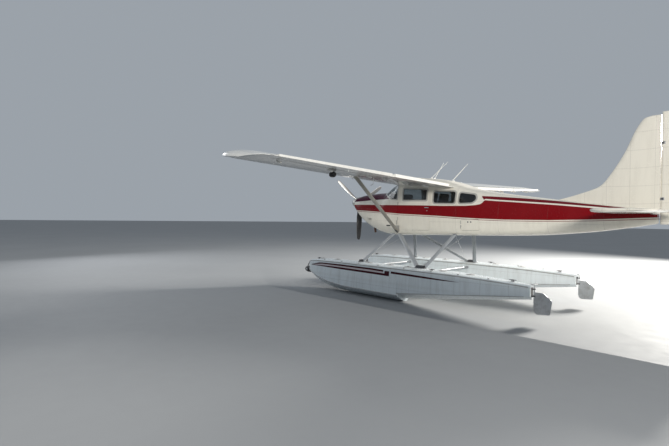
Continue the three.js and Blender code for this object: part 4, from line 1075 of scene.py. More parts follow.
# Cabin lining
# Vinyl-faced panels and a pale headliner, clipped inside the frames from the windshield back to the bulkhead.
lining_material = plastic("lining_vinyl", (0.25, 0.235, 0.20), 0.7, 0.12, bump=0.0007)
lining = wall_between("cabin_lining", -WALL - 0.4, -WALL - 4, 470, CABIN_END - 4)
openings = [rounded(offset_outline(outline, 10), radius) for outline, radius in side_openings]
carve(lining, *[cut_out(openings, *reaches(side)) for side in SIDES.values()],
      cut_out([offset_outline(WINDSHIELD, 12)], -700, 700),
      cut_out([[(0, -200), (3200, -200), (3200, 76), (0, 76)]], -700, 700))
finish_piece(lining, lining_material, "root")

# Firewall
# A stainless sheet with a turned flange and pressed ribs, riveted between the cabin's front frames.
firewall_steel = metal("firewall_steel", (0.50, 0.50, 0.49), 0.42, 0.4, bump=0.0004, Metallic=1.0)
firewall = body_loft("firewall_sheet", FUSELAGE, 4, 22, -WALL - 0.3, step=9)
carve(firewall, ("DIFFERENCE", body_loft("firewall_pocket", FUSELAGE, 6.5, 40, -WALL - 3, step=9)))
finish_piece(firewall, firewall_steel, "root", ["firewall"])
ribs = start_parts()
for x in (-330, -165, 0, 165, 330):
    add_block(ribs, at(x, 9.5, 520 - abs(x) / 12), (0.045, 0.006, 0.72 - abs(x) / 1500), bevel=0.003)
for height in (300, 740):
    add_block(ribs, at(0, 8.2, height), (0.80, 0.003, 0.03), bevel=0.001)
close_parts(ribs, "firewall_ribs", firewall_steel, "root")

# Cabin floor
# Plywood-stiff panels under a dark loop carpet, with extruded seat rails and the front seats' stop pins on
# top.
weave_group, weave_in, weave_out = open_group(
    "woven_cloth", [("Yarn", "Color", (0.05, 0.05, 0.05, 1)), ("Fleck", "Color", (0.12, 0.11, 0.10, 1)),
                    ("Weave", "Float", 320.0), ("Soil", "Float", 0.2)], SPEC)
weave_place = node(weave_group, "TexCoord").outputs["Object"]
threads = node(weave_group, "TexVoronoi", {"Vector": weave_place,
                                           "Scale": weave_in["Weave"]}).outputs["Distance"]
mottle = noise(weave_place, 90.0, 4.0, 0.7)
soil = noise(weave_place, 5.0, 4.0, 0.6)
yarns = tint(ramp(mottle, 0.40, 0.66), weave_in["Yarn"], weave_in["Fleck"])
shaded = tint(ramp(threads, 0.1, 0.7, 0.0, 0.55), yarns, (0.008, 0.008, 0.008, 1))
soiled_cloth = reckon("MULTIPLY", ramp(soil, 0.45, 0.75), weave_in["Soil"])
wire(weave_out["Color"], tint(soiled_cloth, shaded, (0.14, 0.12, 0.09, 1)))
wire(weave_out["Roughness"], ramp(mottle, 0.2, 0.8, 0.82, 0.96))
wire(weave_out["Height"], reckon("SUBTRACT", mottle, threads))
carpet_pile = new_material("carpet_pile", weave_group,
                           {"Yarn": (0.045, 0.043, 0.042, 1), "Fleck": (0.11, 0.10, 0.09, 1),
                            "Weave": 210.0, "Soil": 0.35}, bump=0.003, Sheen_Weight=0.2)
carpet = body_loft("cabin_carpet", FUSELAGE, 24, CABIN_END - 2, -WALL - 0.4, step=90)
carve(carpet, keep_inside([rounded([(10, 52), (3100, 52), (3100, 72), (10, 72)], 2)], -700, 700))
finish_piece(carpet, carpet_pile, "root", ["cabin_floor"])
rails = start_parts()
for x in (-395, -95, 95, 395):
    for low, high, half in ((72, 75, 19), (75, 79, 6), (79, 82, 13)):
        add_block(rails, at(x, 1260, (low + high) / 2), (half / 500, 0.72, (high - low) / 1000), bevel=0.0008)
    for station in every(930, 1590, 60):
        add_turned(rails, at(x, station, 82), UP, [(0, 0), (0.006, 0), (0.005, 0.002), (0, 0.0022)], 10)
close_parts(rails, "seat_rails", bare_aluminium, "root")

# Instrument panel
# A black crackle-finished sheet with round dials, a radio stack and push-pull knobs, under a padded
# glareshield.
panel_black = plastic("panel_crackle", (0.020, 0.020, 0.021), 0.62, 0.12, bump=0.0012)
dial_white = plastic("dial_white", (0.78, 0.78, 0.74), 0.5, 0.05)
knob_red = plastic("knob_red", (0.42, 0.01, 0.01), 0.35, 0.2)
display_green = plastic("display_green", (0.03, 0.11, 0.07), 0.15, 0.0)
trim_vinyl = plastic("trim_vinyl", (0.14, 0.125, 0.105), 0.62, 0.15, bump=0.0007)
PANEL_FACE = 452


def in_cabin(name, outline, gap=0.4):
    """A body with a side outline of [station, height] that runs from one cabin wall to the other."""
    stations = [p[0] for p in outline]
    room = body_loft(name, FUSELAGE, max(0, min(stations) - 30), max(stations) + 30, -WALL - gap, step=20)
    return carve(room, keep_inside([outline], -700, 700))


panel_sheet = in_cabin("instrument_panel_sheet",
                       [(434, 642), (PANEL_FACE, 642), (PANEL_FACE, 921), (434, 921)])
finish_piece(panel_sheet, panel_black, "root", ["instrument_panel"])
shade_vinyl = plastic("shade_vinyl", (0.022, 0.021, 0.020), 0.75, 0.1, bump=0.0012)
glareshield = in_cabin("glareshield_pad", rounded(
    [(60, 921), (430, 920), (470, 908), (492, 924), (490, 985), (464, 1004), (60, 1010)], 10), gap=2)
finish_piece(glareshield, shade_vinyl, "root", sharp=50)
bezels, marks, stack = start_parts(), start_parts(), start_parts()
dials = [(x, height, 41) for x in (148, 240, 332) for height in (862, 768)]
dials += [(410, 850, 30), (410, 775, 30), (240, 690, 26), (332, 690, 26), (-300, 862, 41), (-392, 850, 30)]
dials += [(x, height, 26) for x in (-250, -310, -370) for height in (768, 705)]
for number, (x, height, radius) in enumerate(dials):
    r = radius / 1000
    add_turned(bezels, at(x, PANEL_FACE, height), AFT, [
        (r * 1.05, 0), (r * 1.05, 0.004), (r * 0.98, 0.006), (r * 0.88, 0.0055), (r * 0.84, 0.002),
        (0, 0.0015)], 28)
    for tick in range(10):
        turn = Matrix.Rotation(math.radians(36 * tick + 18), 3, "Y")
        add_block(marks, at(x, PANEL_FACE + 2.2, height) + turn @ Vector((0, 0, r * 0.68)),
                  (r * 0.05, 0.0008, r * 0.16), bevel=0, turn=turn)
    turn = Matrix.Rotation(math.radians(70 + 137 * number), 3, "Y")
    add_block(marks, at(x, PANEL_FACE + 3.2, height) + turn @ Vector((0, 0, r * 0.26)),
              (r * 0.07, 0.001, r * 0.66), bevel=0, turn=turn)
for row, tall in ((884, 46), (832, 46), (780, 46), (734, 34)):
    add_block(stack, at(-40, PANEL_FACE + 6, row), (0.16, 0.016, tall / 1000), bevel=0.002)
    for x in (-105, 25):
        add_turned(stack, at(x, PANEL_FACE + 14, row - 4), AFT, [
            (0, 0), (0.010, 0), (0.010, 0.006), (0.006, 0.007), (0.005, 0.015), (0, 0.016)], 16)
add_block(bezels, at(240, PANEL_FACE + 3, 654), (0.18, 0.006, 0.014), bevel=0.002)
close_parts(bezels, "instrument_bezels", panel_black, "root")
close_parts(marks, "instrument_marks", dial_white, "root")
close_parts(stack, "radio_stack", panel_black, "root")
screens = start_parts()
for row in (886, 834, 782):
    add_block(screens, at(-40, PANEL_FACE + 14.2, row), (0.085, 0.002, 0.020), bevel=0.0006)
close_parts(screens, "radio_screens", display_green, "root")
knobs, red_knobs, rods = start_parts(), start_parts(), start_parts()
KNOB = [(0, 0), (0.008, 0.001), (0.013, 0.010), (0.017, 0.018), (0.016, 0.024), (0.010, 0.027), (0, 0.028)]
for x, height, reach, red in ((70, 690, 60, False), (25, 690, 42, False), (-20, 690, 34, True),
                              (-75, 690, 20, False)):
    add_turned(rods, at(x, PANEL_FACE, height), AFT, [(0, 0), (0.012, 0), (0.012, 0.006), (0.004, 0.007),
                                                      (0.004, reach / 1000), (0, reach / 1000)], 14)
    add_turned(red_knobs if red else knobs, at(x, PANEL_FACE + reach - 2, height), AFT, KNOB, 20)
for x in (-245, 245):
    add_turned(rods, at(x, PANEL_FACE, 735), AFT,
               [(0, 0), (0.024, 0), (0.022, 0.01), (0.0125, 0.012), (0.0125, 0.17), (0, 0.17)], 20)
    wheel = [at(x + dx, PANEL_FACE + 172, 735 + dz) for dx, dz in (
        (-138, 92), (-150, 60), (-148, 10), (-128, -34), (-80, -50), (0, -52), (80, -50), (128, -34),
        (148, 10), (150, 60), (138, 92))]
    add_sweep(knobs, wheel, round_section(0.0125, 14), near=AFT)
    add_block(knobs, at(x, PANEL_FACE + 172, 706), (0.10, 0.026, 0.075), bevel=0.009)
    for side in (-1, 1):
        foot = x + side * 78
        add_rod(rods, at(foot, 90, 230), at(foot, 190, 110), 0.009)
        add_block(rods, at(foot, 96, 240), (0.085, 0.010, 0.11), bevel=0.004,
                  turn=Matrix.Rotation(0.35, 3, "X"))
    add_rod(rods, at(x - 100, 190, 108), at(x + 100, 190, 108), 0.012)
    for side in (-1, 1):
        add_block(rods, at(x + side * 100, 190, 91), (0.02, 0.05, 0.037), bevel=0.003)
close_parts(knobs, "control_wheels", panel_black, "root")
close_parts(red_knobs, "mixture_knob", knob_red, "root")
close_parts(rods, "control_columns", bare_aluminium, "root")

# Seats
# Two front seats and a rear bench: dark woven covers with sewn channels over foam, on a welded tube frame.
# Each cushion is blown up from a smaller pad by cloth simulation, capped, flattened on its pan and given its
# seams.
seat_cover = new_material("seat_cover", weave_group,
                          {"Yarn": (0.050, 0.040, 0.034, 1), "Fleck": (0.115, 0.095, 0.080, 1),
                           "Weave": 420.0, "Soil": 0.2}, bump=0.0012, Sheen_Weight=0.35, Sheen_Roughness=0.5)
# A seat's side outlines, as [station from its front edge, height]
CUSHION = [[0, 300], [470, 285], [480, 420], [0, 440]]
BACKREST = [[400, 380], [500, 380], [600, 1010], [520, 1020]]
PAD_CAP = 0.016
CHANNEL_DEPTH, CHANNEL_WIDTH = 0.007, 0.006


def settle_modifiers(piece):
    """Makes the result of a piece's modifiers its mesh."""
    mesh = bpy.data.meshes.new_from_object(piece.evaluated_get(bpy.context.evaluated_depsgraph_get()))
    piece.modifiers.clear()
    piece.data = mesh


def swell(pad):
    """Blows a pad up from inside, and lets no point move further than the cap."""
    fine = pad.modifiers.new("even_faces", "REMESH")
    fine.mode, fine.voxel_size = "VOXEL", 0.011
    settle_modifiers(pad)
    start = np.array([v.co for v in pad.data.vertices])
    cloth = pad.modifiers.new("foam", "CLOTH")
    cloth.settings.use_pressure = True
    cloth.settings.uniform_pressure_force = 4
    cloth.settings.effector_weights.gravity = 0
    cloth.settings.quality = 4
    for moment in range(1, 21):
        scene.frame_set(moment)
    settle_modifiers(pad)
    scene.frame_set(1)
    moved = np.array([v.co for v in pad.data.vertices]) - start
    length = np.linalg.norm(moved, axis=1, keepdims=True)
    kept = start + moved * np.minimum(1, PAD_CAP / np.maximum(length, 1e-9))
    pad.data.vertices.foreach_set("co", kept.ravel())


def sew(pad, facing, low, high, lines, edge):
    """Presses seams into a pad's face: lines along its length at each x, and a welt near its border."""
    mesh = pad.data
    points = np.array([v.co for v in mesh.vertices])
    normals = np.array([v.normal for v in mesh.vertices])
    seen = np.clip((normals @ np.array(facing) - 0.3) / 0.4, 0, 1)
    across = np.array(facing)[[0, 2, 1]] * (1, 1, -1)
    length = points @ across
    near = [np.abs(points[:, 0] - x) for x in lines]
    near_end = np.minimum(length - length.min(), length.max() - length) - edge
    near_side = np.minimum(points[:, 0] - low, high - points[:, 0]) - edge
    inside = np.minimum(near_end, near_side)
    seam = np.where(inside > 0, np.exp(-(np.min(near, axis=0) / CHANNEL_WIDTH) ** 2), 0)
    seam = np.maximum(seam, np.exp(-(inside / CHANNEL_WIDTH) ** 2))
    points -= normals * (seen * seam * CHANNEL_DEPTH)[:, None]
    mesh.vertices.foreach_set("co", points.ravel())


def front_cutters(outlines, first, last):
    """Bodies that run fore and aft with outlines of [x, height]."""
    parts = start_parts()
    for outline in outlines:
        add_prism(parts, [at(x, first, height) for x, height in outline],
                  [at(x, last, height) for x, height in outline])
    return as_object(parts, "front_cutters")


def seat_pad(name, profile, low, high, station, facing, floor, lines, corner=None):
    """One cushion between two x, from its side outline as [station, height] from the seat's front edge."""
    outline = rounded(offset_outline([(station + s, h) for s, h in profile], -13), 34, 5)
    pad = side_cutters([outline], low + 13, high - 13)
    pad.name = pad.data.name = name
    if corner:
        face = rounded([(low + 13, -100), (high - 13, -100), (high - 13, corner), (low + 13, corner)], 85, 7)
        carve(pad, ("INTERSECT", front_cutters([face], station - 200, station + 900)))
    swell(pad)
    doubled = pad.modifiers.new("fine_faces", "SUBSURF")
    doubled.levels = doubled.render_levels = 1
    settle_modifiers(pad)
    sew(pad, facing, low / 1000, high / 1000, [x / 1000 for x in lines], 0.048)
    if floor is not None:
        for vertex in pad.data.vertices:
            vertex.co.z = max(vertex.co.z, BELLY_Z + floor / 1000)
    finish_piece(pad, seat_cover, "root", sharp=60, keep_normals=True)
    return pad


BACK_SLOPE = math.atan2(100, 630)
for name, low, high, station in (("left_front", 30, 460, 1010), ("right_front", -460, -30, 1010),
                                 ("rear_bench", -410, 410, 1820)):
    lines = [low + (high - low) * (i + 1) / (round((high - low) / 72))
             for i in range(round((high - low) / 72) - 1)]
    node_name = name if name == "rear_bench" else f"{name}_seat"
    cushion = seat_pad(f"{name}_cushion", CUSHION, low, high, station, UP, 300, lines)
    back = seat_pad(f"{name}_backrest", BACKREST, low, high, station,
                    (0, -math.cos(BACK_SLOPE), math.sin(BACK_SLOPE)), None, lines, corner=1012)
    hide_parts(node_name)
    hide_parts(node_name)
    frame_tubes = start_parts()
    left, right, front, rear = low + 70, high - 70, station + 72, station + 395
    pan = [at(x, s, 288) for x, s in ((left, front), (right, front), (right, rear), (left, rear))]
    add_sweep(frame_tubes, pan, round_section(0.011, 14), closed=True)
    for x in (left, right):
        add_sweep(frame_tubes, [at(x, front + 14, 84), at(x, front + 6, 200), at(x, front + 2, 288)],
                  round_section(0.011, 14), near=ACROSS)
        add_sweep(frame_tubes, [at(x, rear - 16, 84), at(x, rear - 6, 200), at(x, rear, 288)],
                  round_section(0.011, 14), near=ACROSS)
        add_rod(frame_tubes, at(x, front + 12, 110), at(x, rear - 10, 250), 0.007)
        for s in (front + 14, rear - 16):
            add_block(frame_tubes, at(x, s, 80), (0.034, 0.055, 0.015), bevel=0.003)
    add_rod(frame_tubes, at(left, front + 8, 170), at(right, front + 8, 170), 0.009)
    add_rod(frame_tubes, at(left, rear - 10, 170), at(right, rear - 10, 170), 0.009)
    add_block(frame_tubes, at((left + right) / 2, (front + rear) / 2, 296),
              ((right - left) / 1000, 0.30, 0.006), bevel=0.002)
    close_parts(frame_tubes, f"{name}_frame", dark_steel, "root")

# Doors and windows
# Each door is a double skin on two hinges at its front edge, with a vinyl panel, an armrest and handles. The
# panes are clear acrylic in white riveted frames with black seals; the door's pane opens on a hinge along its
# top.
glass_group, glass_in, glass_out = open_group(
    "wiped_acrylic", [("Glass", "Color", (0.42, 0.46, 0.47, 1)), ("Smears", "Float", 0.1)], SPEC)
glass_place = node(glass_group, "TexCoord").outputs["Object"]
wiping = noise(stretch(glass_place, 6, 3, 16), 2.0, 4.0, 0.6)
wire(glass_out["Color"], tint(ramp(wiping, 0.4, 0.7, 0.0, 0.15), glass_in["Glass"], (0.36, 0.39, 0.40, 1)))
wire(glass_out["Roughness"], reckon("MULTIPLY", ramp(wiping, 0.45, 0.75), glass_in["Smears"]))
wire(glass_out["Height"], noise(glass_place, 3.0, 1.0))
window_acrylic = new_material("window_acrylic", glass_group, bump=0.0006, Transmission_Weight=1.0, IOR=1.49,
                              Metallic=0.0)
frame_enamel = plain_sheet("window_frame_enamel", (0.80, 0.785, 0.73), 0.25, 0.25, bump=0.0006,
                           Coat_Weight=0.4)
seal_rubber_and_outlet_shade = plastic("seal_rubber_and_outlet_shade", (0.02, 0.02, 0.02), 0.55, 0.1)
chrome = metal("handle_metal", (0.75, 0.75, 0.74), 0.18, 0.2, Metallic=1.0)


def skin_x(station, height, table=FUSELAGE):
    """Half-width of the skin at a station and height, in millimetres."""
    row = smooth_rows(table, [station])[0]
    _, half, bottom, top, narrow, square_bottom, square_top = row
    middle = (bottom + top) / 2
    up = (height - middle) / (top - middle)
    square = square_top if up > 0 else square_bottom
    out = (1 - min(0.999, abs(up)) ** square) ** (1 / square)
    return half * out * (1 - narrow * max(0.0, up) ** 1.5)


def pane(name, outline, radius, side, body, node_name):
    glass = wall_between(name, -8, -13, *window_span(outline))
    carve(glass, keep_inside([rounded(offset_outline(outline, -1), radius)], *reaches(side)))
    return finish_piece(glass, window_acrylic, body, [node_name])


def window_span(outline):
    stations = [p[0] for p in outline]
    return min(stations) - 60, min(max(stations) + 60, CABIN_END)


def window_frame(name, outline, radius, side, body, width, outer=3, inner=-20, material=None,
                 hole=-9):
    """A raised rim round a window, from outside its edge to inside it."""
    rim = wall_between(name, outer, inner, *window_span(outline))
    carve(rim, keep_inside([rounded(offset_outline(outline, width), radius + width)], *reaches(side)),
          cut_out([rounded(offset_outline(outline, hole), radius + hole)], *reaches(side, 100)))
    return finish_piece(rim, material or frame_enamel, body)


def add_hinge(fixed, moving, x, station, height):
    """A hinge's lower knuckle and leaf, on the cabin, and its upper ones, on the door that turns on it."""
    inward = -math.copysign(13, x)
    for parts, low, high, leaf in ((fixed, 0, 35.5, -0.012), (moving, 36.5, 72, 0.012)):
        add_rod(parts, at(x, station, height + low), at(x, station, height + high), 0.009, 16, 0.1)
        add_plate(parts, [(0, low / 1000), (leaf, low / 1000), (leaf, high / 1000), (0, high / 1000)],
                  at(x + inward, station, height), AFT, UP, 0.024, 0.001)


for name, side in SIDES.items():
    door_body = f"{name}_door"
    door = wall_between(f"{name}_door_skin", 0, -WALL, 700, 1740)
    carve(door, keep_inside([rounded(offset_outline(DOOR, -DOOR_GAP), 60)], *reaches(side)),
          cut_out([rounded(DOOR_WINDOW, 45)], *reaches(side, 100)))
    finish_piece(door, door_enamel, door_body, [door_body])
    panel = wall_between(f"{name}_door_trim", -WALL - 0.4, -WALL - 5, 700, 1740)
    carve(panel, keep_inside([rounded(offset_outline(DOOR, -34), 60)], *reaches(side)),
          cut_out([rounded(offset_outline(DOOR_WINDOW, 6), 45)], *reaches(side, 100)))
    finish_piece(panel, trim_vinyl, door_body)
    pane(f"{name}_door_pane", DOOR_WINDOW, 45, side, door_body, f"{name}_door_window")
    window_frame(f"{name}_door_window_frame", DOOR_WINDOW, 45, side, door_body, 15, hole=-20)
    window_frame(f"{name}_door_window_seal", DOOR_WINDOW, 45, side, door_body, -19, 1, -15, seal_rubber_and_outlet_shade,
                 -25)
    for window, outline, radius in (("rear", REAR_WINDOW, 70), ("aft", AFT_WINDOW, 60)):
        pane(f"{name}_{window}_pane", outline, radius, side, "root", f"{name}_{window}_window")
        window_frame(f"{name}_{window}_window_frame", outline, radius, side, "root", 22)
        window_frame(f"{name}_{window}_window_seal", outline, radius, side, "root", -8, 1, -15, seal_rubber_and_outlet_shade,
                     -13)

    outside, inside = start_parts(), start_parts()
    handle_x = skin_x(1610, 625)
    for station in (1552, 1672 - 36):
        add_rod(outside, at(side * (handle_x - 4), station, 628), at(side * (handle_x + 20), station, 628),
                0.008, 12)
    add_sweep(outside, [at(side * (handle_x + 16), s, 629 + drop) for s, drop in
                        ((1544, 0), (1575, 2), (1610, 1), (1646, -2), (1658, -5))],
              [(-0.004, -0.009), (0.004, -0.009), (0.006, 0), (0.004, 0.009), (-0.004, 0.009), (-0.006, 0)])
    add_turned(outside, at(side * (handle_x - 2), 1600, 560), (side, 0, 0), [
        (0, 0), (0.011, 0), (0.012, 0.004), (0.010, 0.006), (0.004, 0.006), (0, 0.006)], 16)
    close_parts(outside, f"{name}_door_handle", chrome, door_body)
    wall = skin_x(1400, 500) - WALL - 5
    add_block(inside, at(side * (wall - 22), 1380, 560), (0.044, 0.30, 0.045), 0.012)
    add_block(inside, at(side * (wall - 6), 1290, 250), (0.012, 0.42, 0.20), 0.006)
    add_rod(inside, at(side * wall, 1560, 640), at(side * (wall - 28), 1560, 640), 0.010, 12)
    add_block(inside, at(side * (wall - 26), 1525, 640), (0.012, 0.09, 0.016), 0.004)
    close_parts(inside, f"{name}_door_armrest", trim_vinyl, door_body)

    # Hinges: the lower knuckle and leaf on the cabin, the upper ones on the door
    fixed, moving = start_parts(), start_parts()
    for height in (330, 700):
        add_hinge(fixed, moving, side * 539, 763, height)
        add_rod(moving, at(side * 539, 763, height + 36), at(side * 539, 763, height + 76), 0.004, 10)
    close_parts(fixed, f"{name}_door_hinge_brackets", frame_enamel, "root")
    close_parts(moving, f"{name}_door_hinges", frame_enamel, door_body)

# Windshield
# One sheet of blown acrylic that wraps round to the door posts, held along its foot and sides by riveted
# strips.
windshield = wall_between("windshield_acrylic", -3, -9, 140, 800)
carve(windshield, keep_inside([offset_outline(WINDSHIELD, -1)], -700, 700))
finish_piece(windshield, window_acrylic, "root", ["windshield"])
strip = wall_between("windshield_strip", 3, -12, 100, 860)
strip_path = offset_outline(WINDSHIELD, 15)
strip_hole = offset_outline(WINDSHIELD, -13)
carve(strip, keep_inside([strip_path], -700, 700), cut_out([strip_hole], -800, 800))
finish_piece(strip, frame_enamel, "root")

# Baggage door
# A small hinged panel behind the left windows, with a piano-type hinge at its front edge and two flush
# latches.
baggage = wall_between("baggage_door_skin", 0, -WALL, 2380, 2940)
carve(baggage, keep_inside([rounded(offset_outline(BAGGAGE_DOOR, -DOOR_GAP), 40)], 150, 700))
finish_piece(baggage, door_enamel, "baggage_door", ["baggage_door"])
latches, baggage_brackets, baggage_hinges = start_parts(), start_parts(), start_parts()
for station in (2615, 2680):
    skin = skin_x(station, 317)
    add_turned(latches, at(skin - 2, station, 317), ACROSS, [
        (0, 0), (0.015, 0), (0.016, 0.003), (0.012, 0.005), (0.006, 0.0045), (0, 0.0045)], 18)
    add_block(latches, at(skin + 3, station, 317), (0.003, 0.006, 0.022), 0.001)
for height in (175, 270):
    add_hinge(baggage_brackets, baggage_hinges, 523, 2453, height)
close_parts(latches, "baggage_door_latches", dark_steel, "baggage_door")
close_parts(baggage_brackets, "baggage_door_hinge_brackets", frame_enamel, "root")
close_parts(baggage_hinges, "baggage_door_hinges", frame_enamel, "baggage_door")

# Tail cone
# Riveted skins that taper from the cabin to the rudder post, closed by a small cap with a white lamp.
cone = body_loft("tail_cone_skin", FUSELAGE, CABIN_END + 0.3, 5850, 0, 50)
carve(cone, ("DIFFERENCE", body_loft("cone_hollow", FUSELAGE, CABIN_END - 30, 5000, -12, 60)),
      cut_out([[(5760, 500), (5900, 500), (5900, 580), (5760, 580)]], -400, 400))
finish_piece(cone, body_enamel, "root", ["tail_cone"])

# Tail surfaces
# Fin and stabilizer are smooth riveted sheet over ribs. Rudder and elevator have skins stiffened by pressed
# beads that run fore and aft. They hang on hinges along their front edges.
tail_group, _, tail_out = open_group("tail_sheet", [], SPEC)
tail_axes = node(tail_group, "SeparateXYZ", {0: node(tail_group, "TexCoord").outputs["Object"]}).outputs
tail_sheet = place_group(tail_group, sheet_group, {
    "Paint": CREAM_WHITE, "Along": reckon("ADD", reckon("ABSOLUTE", tail_axes[0]), tail_axes[2]),
    "Across": reckon("ADD", tail_axes[1], 0.13), "Frame Pitch": 0.31, "Row Pitch": 0.36, "Dirt": 0.2,
    "Gloss": 0.2})
pass_on(tail_out, tail_sheet)
tail_enamel = new_material("tail_enamel", tail_group, bump=0.0009, Coat_Weight=0.5, Coat_Roughness=0.08)
BEAD_PITCH = 88
BEAD_HEIGHT = 3.0


def bead(span):
    """How far a pressed bead stands up from the sheet at this place along the surface."""
    share = (span / BEAD_PITCH) % 1.0
    return BEAD_HEIGHT * max(0.0, math.cos((share - 0.5) * 2 * math.pi)) ** 1.5


def section_ring(lead, trail, half_at, nose, place, beaded=0.0, points=26):
    """A closed ring round a thin symmetric surface: a round nose, then the given half-thickness."""
    upper, lower = [], []
    for i in range(points + 1):
        share = (1 - math.cos(math.pi * i / points)) / 2
        station = lead + (trail - lead) * share
        front = min(1.0, (station - lead) / nose)
        half = half_at(station) * math.sqrt(max(0.0, 1 - (1 - front) ** 2))
        if beaded and 0.12 < share < 0.96:
            half += beaded * math.sin(math.pi * (share - 0.12) / 0.84) ** 0.25
        upper.append(place(station, half))
        lower.append(place(station, -half))
    return upper[::-1] + lower[1:]


def straight(table):
    stations, values = zip(*table)
    return lambda s: float(np.interp(s, stations, values))


def edge_curve(points, spans):
    return {s: row[1] for s, row in zip(spans, smooth_rows(points, np.clip(spans, points[0][0],
        points[-1][0])))}


def fade(span, last, length=45.0):
    """Rounds off the end of a surface."""
    share = min(1.0, max(0.0, (last - span) / length))
    return math.sqrt(max(0.0004, 1 - (1 - share) ** 2))


fin_thick = straight([(4140, 8), (4700, 22), (5250, 38), (5600, 42), (5872, 34)])
fin_lead = [[560, 3900], [740, 4150], [860, 4560], [1010, 4960], [1250, 5150], [1560, 5330], [2090, 5575],
            [2150, 5630], [2180, 5730]]
heights = every(560, 2150, 28) + [2160, 2168, 2174, 2178, 2180]
leads = edge_curve(fin_lead, heights)
fin = loft("fin_skin", [section_ring(leads[h], 5872, lambda s, h=h: fin_thick(s) * fade(h, 2181), 90,
                                     lambda s, w, h=h: at(w, s, h)) for h in heights])
carve(fin, ("DIFFERENCE", body_loft("under_fin", FUSELAGE, 3000, 5850, -6, 60)))
finish_piece(fin, tail_enamel, "root", ["fin"])

rudder_thick = straight([(5878, 31), (5905, 31), (6462, 3)])
rudder_trail = [[330, 6000], [350, 6190], [372, 6290], [400, 6345], [900, 6449], [1700, 6425], [2120, 6345],
                [2200, 6290], [2225, 6180]]
heights = every(330, 2195, 9) + [2205, 2213, 2219, 2223, 2225]
trails = edge_curve(rudder_trail, heights)
rudder = loft("rudder_skin", [section_ring(
    5879, trails[h], lambda s, h=h: rudder_thick(s) * fade(h, 2226) * fade(-h, -329), 30,
    lambda s, w, h=h: at(w, s, h), bead(h) * (400 < h < 2120), 22) for h in heights])
for height in (760, 1700):
    carve(rudder, cut_out([[(5800, height - 24), (5932, height - 24), (5932, height + 24),
                            (5800, height + 24)]], -90, 90))
finish_piece(rudder, tail_enamel, "rudder", ["rudder"])
lugs = start_parts()
for height in (760, 1700):
    add_block(lugs, at(0, 5882, height), (0.028, 0.07, 0.026), 0.003)
    add_rod(lugs, at(0, 5905, height - 34), at(0, 5905, height + 34), 0.006, 12)
    for face in (-1, 1):
        add_rod(lugs, at(face * 12, 5868, height), at(face * 20, 5868, height), 0.007, 6, 0.15)
close_parts(lugs, "rudder_hinges", dark_steel, "root")

stabilizer_thick = straight([(5020, 14), (5060, 18), (5200, 30), (5450, 33), (5790, 27)])
stabilizer_lead = [[0, 5030], [900, 5130], [1400, 5205], [1560, 5290], [1630, 5420], [1652, 5620]]
spans = every(-1630, 1630, 40)
spans = [-1652, -1649, -1643] + spans + [1643, 1649, 1652]
leads = edge_curve(stabilizer_lead, [abs(s) for s in spans])
stabilizer = loft("stabilizer_skin", [section_ring(
    leads[abs(s)], 5762, lambda y, s=s: stabilizer_thick(y) * fade(abs(s), 1653), 70,
    lambda y, w, s=s: at(s, y, 540 + w)) for s in spans])
carve(stabilizer, cut_out([[(5742, 300), (5900, 300), (5900, 800), (5742, 800)]], -112, 112))
finish_piece(stabilizer, tail_enamel, "root", ["stabilizer"])

elevator_thick = straight([(5764, 26), (5790, 26), (6280, 3)])
elevator_trail = [[95, 5815], [160, 5930], [320, 6225], [430, 6262], [1540, 6120], [1620, 6060], [1652, 5930]]
elevator_halves = start_parts()
for side in SIDES.values():
    spans = every(95, 1652, 9)
    trails = edge_curve(elevator_trail, spans)
    rings = [[elevator_halves.verts.new(p) for p in section_ring(
        5764, trails[s], lambda y, s=s: elevator_thick(y) * fade(s, 1653), 28,
        lambda y, w, s=s: at(side * s, y, 540 + w), bead(s) * (340 < s < 1560), 20)] for s in spans]
    add_skin(elevator_halves, rings)
add_rod(elevator_halves, at(-115, 5790, 540), at(115, 5790, 540), 0.017, 20)
close_parts(elevator_halves, "elevator_skin", tail_enamel, "elevator", ["elevator"])

tail_lamp = start_parts()
add_turned(tail_lamp, at(0, 5846, 420), AFT,
           [(0, 0), (0.020, 0), (0.020, 0.008), (0.015, 0.018), (0.006, 0.024), (0, 0.025)], 18)
lens_material = new_material("clear_lens", glass_group, {"Glass": (0.9, 0.9, 0.88, 1), "Smears": 0.2},
                             Transmission_Weight=0.6, IOR=1.5)
close_parts(tail_lamp, "tail_lamp", lens_material, "root")

# Engine and its cowl
# A flat six-cylinder engine on a tube mount, under three riveted and screwed sheet shells: a nose bowl, a top
# and a bottom. Air enters two rimmed inlets beside the shaft and leaves by the open lip in front of the
# firewall.
engine_grey = metal("engine_casting", (0.20, 0.20, 0.205), 0.55, 0.5, Metallic=0.7)
COWL = [[-905, 292, 640, 905, 0.05, 2.6, 2.4], [-900, 306, 624, 912, 0.05, 2.62, 2.42],
        [-880, 330, 590, 928, 0.06, 2.7, 2.4], [-800, 376, 512, 958, 0.08, 2.8, 2.4],
        [-620, 424, 346, 992, 0.10, 3.0, 2.4], [-330, 462, 160, 1016, 0.12, 3.1, 2.5],
        [-90, 481, 60, 1028, 0.14, 3.2, 2.6], [-0.3, 485, 29, 1030, 0.14, 3.2, 2.6]]
INLET = [[112, 750], [270, 735], [285, 800], [262, 866], [112, 880]]
PROP_STATION, PROP_HEIGHT = -975, 800


def circle(x, height, radius, steps=40):
    return [[x + radius * math.cos(2 * math.pi * i / steps),
             height + radius * math.sin(2 * math.pi * i / steps)]
            for i in range(steps)]


def mirrored(outline):
    return [[-p[0], p[1]] for p in outline][::-1]


